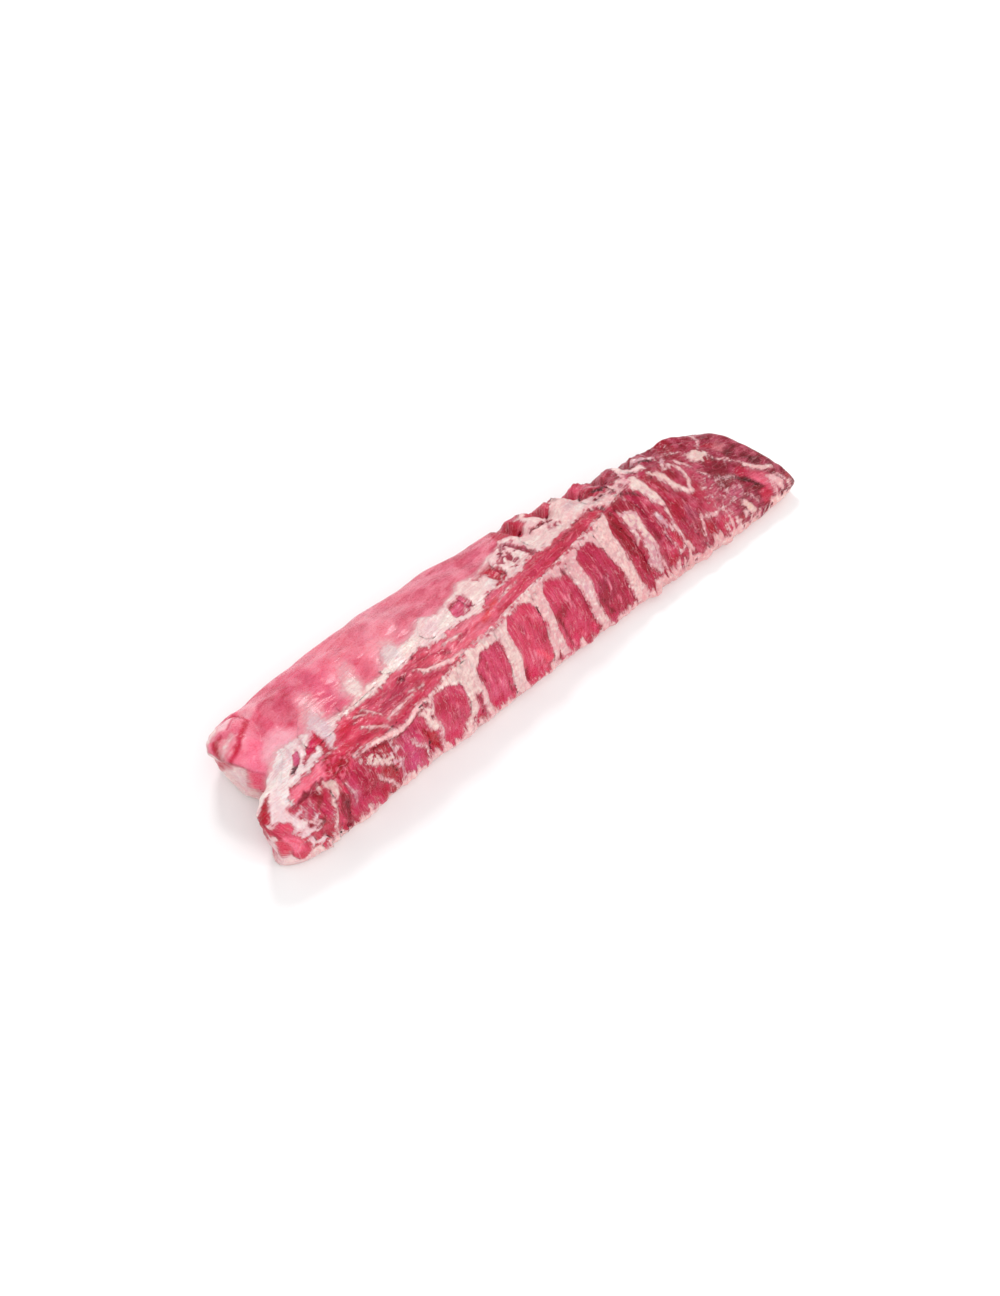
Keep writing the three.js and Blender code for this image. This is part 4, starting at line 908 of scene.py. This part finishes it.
def on_skin(at):
    """What the coats and the relief give at places on the skin: tissues, fibre direction and height."""
    tear = 1 + (SIRLOIN_TEAR - 1) * smooth((SIRLOIN_FROM - at.s) / 25) * (at.m < 8)
    wobble_s, wobble_b = (tear * uneven(at, *wander) for wander in (ALONG_WANDER, ROUND_WANDER))
    tufts = uneven(at, CREST_FRAY) * (np.abs(at.m - 6) < 2)
    read = SimpleNamespace(s=at.s + wobble_s, m=at.m + (wobble_b + tufts) / at.k, k=at.k, b=at.b)
    lean, pale, cover, raised = tissue_of(skin, read, *plain_tissue(at, PLAIN_LEAN, PLAIN_PALE))
    straight = SimpleNamespace(
        s=at.s + THREAD_WANDER * wobble_s, m=at.m + THREAD_WANDER * wobble_b / at.k, k=at.k, b=at.b,
    )
    lean, pale, cover, raised = tissue_of(threads, straight, lean, pale, cover, raised)
    rise, above_base = relief(at)
    down = smooth((DOWN_MARK - at.m) / 0.1) * smooth((DOWN_TO - at.s) / 20)
    edge_step = PALE_PROUD * smooth((cover + 1) / 2.5)
    # The eye muscle is sleek in the sirloin half of the loin, with fainter grain and few torn strands.
    chine_edge = np.interp(at.s, *zip(*CHINE_TOP)) - SLEEK_EDGE
    sleek = smooth((at.m - chine_edge) / 0.3) * smooth((SLEEK_TO - at.s) / 40)
    fine = FINE_GAIN * (fine_unevenness(at, down) * (1 - 0.6 * sleek))
    height = rise + swelling(at) + above_base * (raised + edge_step - SUNK + fine)
    # Painted shade: the lean is darkened and the pale tissue turned pinker in the hollows of the fine grain.
    # Painted light: the lean is paler on its ridges.
    shaded_hollow, lit_ridge = np.clip(-fine, 0, 1)[:, None], np.clip(fine, 0, 1)[:, None]
    lean = lean * (1 - HOLLOW_SHADE_DARKENING * shaded_hollow)
    lean = lean + (lean ** RIDGE_PAINTED_LIGHT - lean) * lit_ridge
    pale = pale + (linear(PALE_HOLLOW_SHADE_COLOUR) - pale) * PALE_HOLLOW_SHADE_SHARE * shaded_hollow
    return SimpleNamespace(lean=lean, pale=pale, cover=cover, down=down, height=height, modelled=rise,
                           torn=1 - 0.75 * sleek, wobble_s=wobble_s, wobble_b=wobble_b)


def skin_point(s, m, b):
    """The finished skin at a place s along and mark m round."""
    at = plain_skin(s, m, b)
    yz = at.foot + at.out * on_skin(at).height[:, None]
    return np.column_stack([along_with_ends(s, *end_shift(yz[:, 0], yz[:, 1])), yz])


NORMAL_STEP_MM = 0.7


def skin_normal(at, here):
    """The way the finished skin faces, the same for every piece that meets at a seam."""
    along = skin_point(at.s + NORMAL_STEP_MM, at.m, at.b) - here
    around = skin_point(at.s, (at.m + NORMAL_STEP_MM / at.k) % MARKS, at.b + NORMAL_STEP_MM) - here
    across = np.cross(along, around)
    across *= np.where(np.sum(across[:, 1:] * at.out, -1) < 0, -1, 1)[:, None]
    return across / np.maximum(np.linalg.norm(across, axis=1, keepdims=True), TINY)


def painted(at):
    """Colours, cover, fibre direction, pattern place and skin height for places on the loin."""
    look = on_skin(at)
    dark = np.clip(1 - look.lean[:, 1:2] / DARK_GREEN, 0, 1)
    lean = look.lean ** (PIGMENT_DEPTH + DARK_DEPTH * dark)
    pale, cover, down = look.pale, look.cover, look.down
    wobble_s, wobble_b = look.wobble_s, look.wobble_b
    place = np.stack([at.s, at.b], -1)
    for coats, distance in ((near_face, at.s - NEAR_X), (far_face, FAR_X - at.s)):
        on_face = smooth((FACE_FROM - distance) / 5) * smooth((-at.height - FACE_DEEP) / 2.5)
        read = SimpleNamespace(s=at.y + wobble_s, m=at.z + wobble_b, k=np.ones(len(at.s)), b=at.z)
        face_lean, face_pale, face_cover, _ = tissue_of(coats, read, *plain_tissue(at, FACE_LEAN, FACE_PALE))
        lean += (face_lean ** PIGMENT_DEPTH - lean) * on_face[:, None]
        pale += (face_pale - pale) * on_face[:, None]
        cover += (face_cover - cover) * on_face
        place = np.where(on_face[:, None] > 0.5, np.stack([at.y, at.z], -1), place)
        down = down * (1 - on_face)
    return SimpleNamespace(lean=lean, pale=pale, cover=cover, down=down, place=place, torn=look.torn,
                           skin_height=look.height, modelled=look.modelled)


# A piece is laid to the skin where it lies near it, faces outward, and is clear of the cut ends and of the
# film it rests on. A lip of membrane grows at its edge, and the cut ends are rough with low lumps. Each of
# these fades in or out over the millimetres, or the share, that its distance is divided by.
SNAP_DEPTH, SNAP_FACING = 1.5, 0.15
END_LENGTH = 11
FILM_Z = 1.2
LIP_FACING, LEAST_SIDEWAYS = 0.93, 0.35
END_LUMPS = ((1.1, 9, 21), (0.6, 4, 22))


def fine_copy(node, name, voxel):
    """A copy of a CAD piece with its loose triangles merged, remeshed with even faces of so many mm."""
    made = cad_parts[node].data.copy()
    loose = bmesh.new()
    loose.from_mesh(made)
    bmesh.ops.remove_doubles(loose, verts=loose.verts, dist=0.01 * MM)
    loose.to_mesh(made)
    loose.free()
    piece = bpy.data.objects.new(name, made)
    bpy.context.scene.collection.objects.link(piece)
    remesh = piece.modifiers.new("fine", "REMESH")
    remesh.mode = "VOXEL"
    remesh.voxel_size = voxel * MM
    remesh.adaptivity = 0
    bpy.context.view_layer.update()
    fine = bpy.data.meshes.new_from_object(piece.evaluated_get(bpy.context.evaluated_depsgraph_get()))
    piece.modifiers.clear()
    piece.data = fine
    fine.name = name
    fine.materials.clear()
    return piece


def dressed_copy(node, name, voxel, lip=0.0, lip_lift=0.0):
    """A fine copy of a CAD piece, laid to the common skin and carrying what shows on it. A lip of membrane
    reaches out over the seam from the piece's upper edge."""
    piece = fine_copy(node, name, voxel)
    fine = piece.data
    co = np.empty(len(fine.vertices) * 3, np.float32)
    fine.vertices.foreach_get("co", co)
    points = co.reshape(-1, 3) / MM + DRAWING_ZERO
    normals = np.empty(len(fine.vertices) * 3, np.float32)
    fine.vertex_normals.foreach_get("vector", normals)
    normals = normals.reshape(-1, 3).astype(float)
    at = place_on_loin(points)
    look = painted(at)
    facing = np.sum(normals[:, 1:] * at.out, -1)
    from_end = np.minimum(at.s - NEAR_X, FAR_X - at.s)
    snap = smooth((at.height - look.modelled + SNAP_DEPTH) / 0.5) * smooth((facing - SNAP_FACING) / 0.25)
    snap *= smooth((from_end - END_LENGTH) / 8) * smooth((points[:, 2] - FILM_Z) / 4)
    height = at.height + (look.skin_height + lip_lift - at.height) * snap
    yz = at.foot + at.out * height[:, None]
    laid = np.column_stack([along_with_ends(at.s, *end_shift(yz[:, 0], yz[:, 1])), yz])
    points = points + (laid - points) * snap[:, None]
    sideways = normals.copy()
    sideways[:, 1:] -= at.out * facing[:, None]
    sideways /= np.maximum(np.linalg.norm(sideways, axis=1, keepdims=True), LEAST_SIDEWAYS)
    points += sideways * (lip * snap * smooth((LIP_FACING - facing) / 0.2))[:, None]
    skin_facing = skin_normal(at, skin_point(at.s, at.m, at.b))
    rough_end = smooth((END_LENGTH + 6 - from_end) / 10) * smooth((points[:, 2] - FILM_Z) / 5)
    lumps = sum(high * patches(at.y + points[:, 0], at.z, size, seed) for high, size, seed in END_LUMPS)
    points += normals * (rough_end * (lumps - 0.5))[:, None]
    fine.vertices.foreach_set("co", ((points - DRAWING_ZERO) * MM).astype(np.float32).ravel())
    solid_colour = np.ones((len(points), 4), np.float32)
    for label, values in (("lean_colour", look.lean), ("pale_colour", look.pale)):
        solid_colour[:, :3] = values
        fine.attributes.new(label, "FLOAT_COLOR", "POINT").data.foreach_set("color", solid_colour.ravel())
    place = np.column_stack([look.place, look.torn]).astype(np.float32)
    fine.attributes.new("skin_place", "FLOAT_VECTOR", "POINT").data.foreach_set("vector", place.ravel())
    for label, values in (("pale_cover", look.cover), ("fibre_down", look.down)):
        fine.attributes.new(label, "FLOAT", "POINT").data.foreach_set("value", values.astype(np.float32))
    fine.shade_smooth()
    fine.update()
    fine.vertex_normals.foreach_get("vector", co)
    own = co.reshape(-1, 3)
    common = smooth((snap - 0.1) / 0.5)[:, None]
    facing_now = own * (1 - common) + skin_facing * common
    fine.normals_split_custom_set_from_vertices(facing_now / np.linalg.norm(facing_now, axis=1, keepdims=True))
    return piece


def node(tree, kind, settings=None, **links):
    """Adds one node to a material: its settings by name, and its sockets by value, sRGB hex or link."""
    made = tree.nodes.new(kind)
    for key, value in (settings or {}).items():
        setattr(made, key, value)
    for key, value in links.items():
        numbered = key[0] == "i" and key[1:].isdigit()
        socket = made.inputs[int(key[1:]) if numbered else key.replace("_", " ")]
        if isinstance(value, bpy.types.NodeSocket):
            tree.links.new(value, socket)
        else:
            socket.default_value = (*linear(value), 1) if isinstance(value, str) else value
    return made


# Raw pork, cut and torn by knife and saw: wet lean muscle with its fibres, and dull pale fat, tendon and
# membrane over it. The eye gets soft pink translucency, fine streaks and small wet glints.
SMOOTHLY, TIMES_PLUS = {"interpolation_type": "SMOOTHSTEP"}, {"operation": "MULTIPLY_ADD"}
VALUES, COLOURS = {"data_type": "FLOAT"}, {"data_type": "RGBA"}
BROKEN_UP = 0.6
WET_ROUGHNESS = 0.3


def raw_pork(name, dry, speckle, glow):
    """A finish by how dull and how speckled its pale tissue is, and how much light goes into it."""
    material = bpy.data.materials.new(name)
    material.use_nodes = True
    tree = material.node_tree
    tree.nodes.clear()
    lean, pale, cover, down, place = (
        node(tree, "ShaderNodeAttribute", {"attribute_name": label}).outputs[out] for label, out in (
            ("lean_colour", "Color"), ("pale_colour", "Color"), ("pale_cover", "Fac"), ("fibre_down", "Fac"),
            ("skin_place", "Vector"),
        )
    )
    torn = node(tree, "ShaderNodeSeparateXYZ", Vector=place).outputs["Z"]
    body = node(tree, "ShaderNodeTexCoord").outputs["Object"]

    # Streaks run along the muscle, or down the rib face, and lean a little off it: fibres about 1 mm across
    # and 13 mm long, hair-thin strands of silverskin about 5 mm apart, and strokes of tone 4 mm wide.
    streaks = []
    for long, wide, turn, turn_down, shift, detail in (
        (13, 0.95, 0.16, 0.14, (0, 0, 0), 3), (24, 5, 0.3, 0.25, (0, 0, 0), 2), (14, 4, 0, 0, (7, 3, 0), 2),
    ):
        runs = []
        for angle, scale in ((turn, (1 / long, 1 / wide, 0)), (turn_down, (1 / wide, 1 / long, 0))):
            run = node(tree, "ShaderNodeMapping", Vector=place, Location=shift, Rotation=(0, 0, angle), Scale=scale)
            runs.append(node(
                tree, "ShaderNodeTexNoise", Vector=run.outputs[0], Scale=1, Detail=detail, Roughness=BROKEN_UP,
            ).outputs["Fac"])
        streaks.append(node(tree, "ShaderNodeMix", VALUES, i0=down, i2=runs[0], i3=runs[1]).outputs[0])
    fibre, silverskin, stroke = streaks
    off_strand = node(tree, "ShaderNodeMath", {"operation": "SUBTRACT"}, i0=silverskin, i1=0.5).outputs[0]
    from_strand = node(tree, "ShaderNodeMath", {"operation": "ABSOLUTE"}, i0=off_strand).outputs[0]

    # Patches in the flesh itself, by their size in mm, and the swing of some from -1 to 1.
    grain, tuft, clots, drift = (
        node(
            tree, "ShaderNodeTexNoise", Vector=body, Scale=1 / (size * MM), Detail=detail, Roughness=BROKEN_UP,
        ).outputs["Fac"] for size, detail in ((1.3, 2), (2.6, 3), (6, 3), (20, 2))
    )
    grain_swing, tuft_swing, clots_swing, fibre_swing = (
        node(tree, "ShaderNodeMapRange", SMOOTHLY, i0=pattern, i1=low, i2=1 - low, i3=-1, i4=1).outputs[0]
        for pattern, low in ((grain, 0.3), (tuft, 0.3), (clots, 0.3), (fibre, 0.32))
    )

    # Pale tissue reaches to a ragged edge, which is sharp where the meat is torn and smeared wide where it is
    # smooth, and a thin smear of it lies beyond.
    ragged = cover
    for swing, reach in ((clots_swing, 0.7), (tuft_swing, 0.5), (fibre_swing, 0.7)):
        ragged = node(tree, "ShaderNodeMath", TIMES_PLUS, i0=swing, i1=reach, i2=ragged).outputs[0]
    smear = node(tree, "ShaderNodeMath", TIMES_PLUS, i0=torn, i1=-6, i2=6).outputs[0]
    edge_from, edge_to = (
        node(tree, "ShaderNodeMath", TIMES_PLUS, i0=smear, i1=share, i2=at_least).outputs[0]
        for share, at_least in ((-1, -1), (0.7, 1.4))
    )
    solid = node(tree, "ShaderNodeMapRange", SMOOTHLY, i0=ragged, i1=edge_from, i2=edge_to).outputs[0]
    blotched, from_margin = (
        node(tree, "ShaderNodeMath", TIMES_PLUS, i0=swing, i1=reach, i2=cover).outputs[0]
        for swing, reach in ((clots_swing, 1.5), (tuft_swing, 0.8))
    )
    thin = node(tree, "ShaderNodeMapRange", SMOOTHLY, i0=blotched, i1=-3.5, i2=0.5, i4=0.1).outputs[0]
    amount = node(tree, "ShaderNodeMath", {"operation": "MAXIMUM"}, i0=solid, i1=thin).outputs[0]

    # Each tissue is mottled layer by layer. A row gives the pattern, two of its values with the share of the
    # tint at each, the tint, and whether it shows on torn meat alone.
    deep, light = (node(tree, "ShaderNodeGamma", Color=lean, Gamma=power).outputs[0] for power in (1.5, 0.82))
    tissues = []
    for tissue, layers in (
        (lean, (
            (stroke, 0.5, 0.32, 0, 0.55, deep, True), (stroke, 0.5, 0.68, 0, 0.35, light, True),
            (grain, 0.5, 0.7, 0, 0.35, light, False), (tuft, 0.5, 0.3, 0, 0.35, deep, False),
            (fibre, 0.54, 0.36, 0, 0.55, deep, True), (fibre, 0.54, 0.7, 0, 0.5, light, True),
            (clots, 0.52, 0.72, 0, 0.5, deep, False), (drift, 0.5, 0.7, 0, 0.35, light, False),
            (from_strand, 0, 0.016, 0.35, 0, "#EFAAB0", True),
        )),
        (pale, (
            (grain, 0.48, 0.7, 0, speckle, "#C2868F", False), (clots, 0.5, 0.72, 0, 0.5, "#F7EBE0", False),
            (drift, 0.48, 0.66, 0, 0.25, "#DCAFB6", False), (fibre, 0.5, 0.34, 0, 0.5, "#E08E99", False),
            (stroke, 0.46, 0.3, 0, 0.4, "#E5A3A8", False), (from_margin, 0.3, 2.8, 0.5, 0, "#E29AA4", False),
            (tuft, 0.54, 0.68, 0, 0.4, "#F9F1E8", False),
        )),
    ):
        for pattern, start, end, first, last, tint, on_torn in layers:
            share = node(
                tree, "ShaderNodeMapRange", SMOOTHLY, i0=pattern, i1=start, i2=end, i3=first, i4=last,
            ).outputs[0]
            if on_torn:
                share = node(tree, "ShaderNodeMath", {"operation": "MULTIPLY"}, i0=share, i1=torn).outputs[0]
            tissue = node(tree, "ShaderNodeMix", COLOURS, i0=share, i6=tissue, i7=tint).outputs[2]
        tissues.append(tissue)
    colour = node(tree, "ShaderNodeMix", COLOURS, i0=amount, i6=tissues[0], i7=tissues[1]).outputs[2]

    # Lean meat is wetter than the pale tissue, and fibres, grain and clots all stand out a little.
    wet = node(tree, "ShaderNodeMix", VALUES, i0=amount, i2=WET_ROUGHNESS, i3=dry).outputs[0]
    rough = node(tree, "ShaderNodeMath", TIMES_PLUS, i0=grain_swing, i1=0.06, i2=wet).outputs[0]
    height = 0.0
    for pattern, share in ((amount, 0.4), (clots, 1.2), (grain, 0.6), (fibre, 0.9)):
        height = node(tree, "ShaderNodeMath", TIMES_PLUS, i0=pattern, i1=share, i2=height).outputs[0]
    bump = node(tree, "ShaderNodeBump", Strength=0.8, Distance=1.5 * MM, Height=height)
    surface = node(
        tree, "ShaderNodeBsdfPrincipled", {"subsurface_method": "RANDOM_WALK"}, Base_Color=colour,
        Roughness=rough, Normal=bump.outputs[0], IOR=1.33, Specular_IOR_Level=0.35, Subsurface_Weight=glow,
        Subsurface_Radius=(1.0, 0.35, 0.28), Subsurface_Scale=2.5 * MM, Coat_Weight=0.2, Coat_Roughness=0.14,
    )
    node(tree, "ShaderNodeOutputMaterial", Surface=surface.outputs[0])
    return material


# The slab of meat: all the muscle that the other pieces lie in, with the scraps, film and seams that a knife
# leaves on it. Its finish gives the eye wet, fibrous pink and red flesh with soft pale smears.
MEAT_VOXEL = 1.6
LIP, LIP_LIFT = 1.3, 0.12
meat = dressed_copy("loin_meat", "pork_meat", MEAT_VOXEL, LIP)
meat.data.materials.append(raw_pork("Raw_Pork_Lean_Knife_Cut", 0.42, 0.35, 0.22))
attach(meat, "root")
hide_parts("loin_meat")

# The crest muscle: a long strip of darker muscle with tendons, which tapers between ribs and chine and is
# torn where it was pulled from the bones. Its finish gives the eye deeper red, coarser and wetter flesh.
SMALL_VOXEL = 0.9
crest = dressed_copy("crest_muscle", "pork_crest_muscle", SMALL_VOXEL, LIP, LIP_LIFT)
crest.data.materials.append(raw_pork("Raw_Pork_Dark_Muscle_Torn", 0.4, 0.3, 0.22))
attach(crest, "root")
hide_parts("crest_muscle")

# The chine bones: the sawn backbone, a row of vertebrae fixed in the meat, each with a pointed process and
# still in its membrane. Their finish gives the eye dull, speckled off-white with hardly any glow.
bone_finish = raw_pork("Sawn_Pork_Bone_With_Membrane", 0.5, 0.5, 0.12)
for number in range(1, len(CHINE_BONES) + 1):
    bone = dressed_copy(f"chine_bone_{number:02d}", f"pork_vertebra_{number:02d}", SMALL_VOXEL, LIP, LIP_LIFT)
    bone.data.materials.append(bone_finish)
    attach(bone, "root")
    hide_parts(f"chine_bone_{number:02d}")

# The ribs: flat bones that run down the steep face, held by the muscle between them. They are scraped and
# still covered with thin membrane, so they have the finish of the chine bones.
for number in range(1, len(RIBS) + 1):
    bone = dressed_copy(f"rib_{number:02d}", f"pork_rib_{number:02d}", SMALL_VOXEL, LIP, LIP_LIFT)
    bone.data.materials.append(bone_finish)
    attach(bone, "root")
    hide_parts(f"rib_{number:02d}")

# A plain white sweep to stand on, large soft lamps and the photograph's viewing angle. The painted board
# gives the eye an even, matt white with no glints.
FLOOR_HALF = 6
floor_mesh = bpy.data.meshes.new("studio_floor")
sheet = bmesh.new()
bmesh.ops.create_grid(sheet, x_segments=1, y_segments=1, size=FLOOR_HALF)
sheet.to_mesh(floor_mesh)
sheet.free()
floor = bpy.data.objects.new("studio_floor", floor_mesh)
bpy.context.scene.collection.objects.link(floor)
floor_finish = bpy.data.materials.new("Matt_White_Painted_Board")
floor_finish.use_nodes = True
board = floor_finish.node_tree.nodes["Principled BSDF"]
board.inputs["Base Color"].default_value = (*linear("#F7F7F7"), 1)
board.inputs["Roughness"].default_value = 0.9
floor_mesh.materials.append(floor_finish)

# The middle of the photograph is this place, in metres, a little in front of the loin's centre.
AIM = Vector((-0.044863, -0.036085, 0.035))


def lamp(name, place, size, power, colour="#FFFFFF"):
    light = bpy.data.lights.new(name, "AREA")
    light.size = size
    light.energy = power
    light.color = linear(colour)
    holder = bpy.data.objects.new(name, light)
    holder.location = place
    holder.rotation_euler = (Vector(place) - AIM).to_track_quat("Z", "Y").to_euler()
    bpy.context.scene.collection.objects.link(holder)


lamp("key_lamp", (0.5, 1.1, 1.5), 0.4, 12)
lamp("front_lamp", (0.7, -1.6, 0.8), 0.5, 8)
lamp("fill_lamp", (-1.0, -1.3, 1.5), 1.2, 9)
sky = bpy.data.worlds.new("studio")
sky.use_nodes = True
sky.node_tree.nodes["Background"].inputs["Color"].default_value = (1, 1, 1, 1)
sky.node_tree.nodes["Background"].inputs["Strength"].default_value = 0.82
bpy.context.scene.world = sky
bpy.context.scene.view_settings.view_transform = "Standard"

VIEW_TURN, VIEW_RISE, VIEW_DISTANCE = np.radians(-44), np.radians(50), 1.2
back = Vector((
    np.sin(VIEW_TURN) * np.cos(VIEW_RISE), -np.cos(VIEW_TURN) * np.cos(VIEW_RISE), np.sin(VIEW_RISE),
))
lens = bpy.data.cameras.new("photo_camera")
lens.lens = 43.75
lens.sensor_width = 36
lens.clip_start = 0.05
camera = bpy.data.objects.new("photo_camera", lens)
camera.location = AIM + back * VIEW_DISTANCE
camera.rotation_euler = back.to_track_quat("Z", "Y").to_euler()
bpy.context.scene.collection.objects.link(camera)
bpy.context.scene.camera = camera
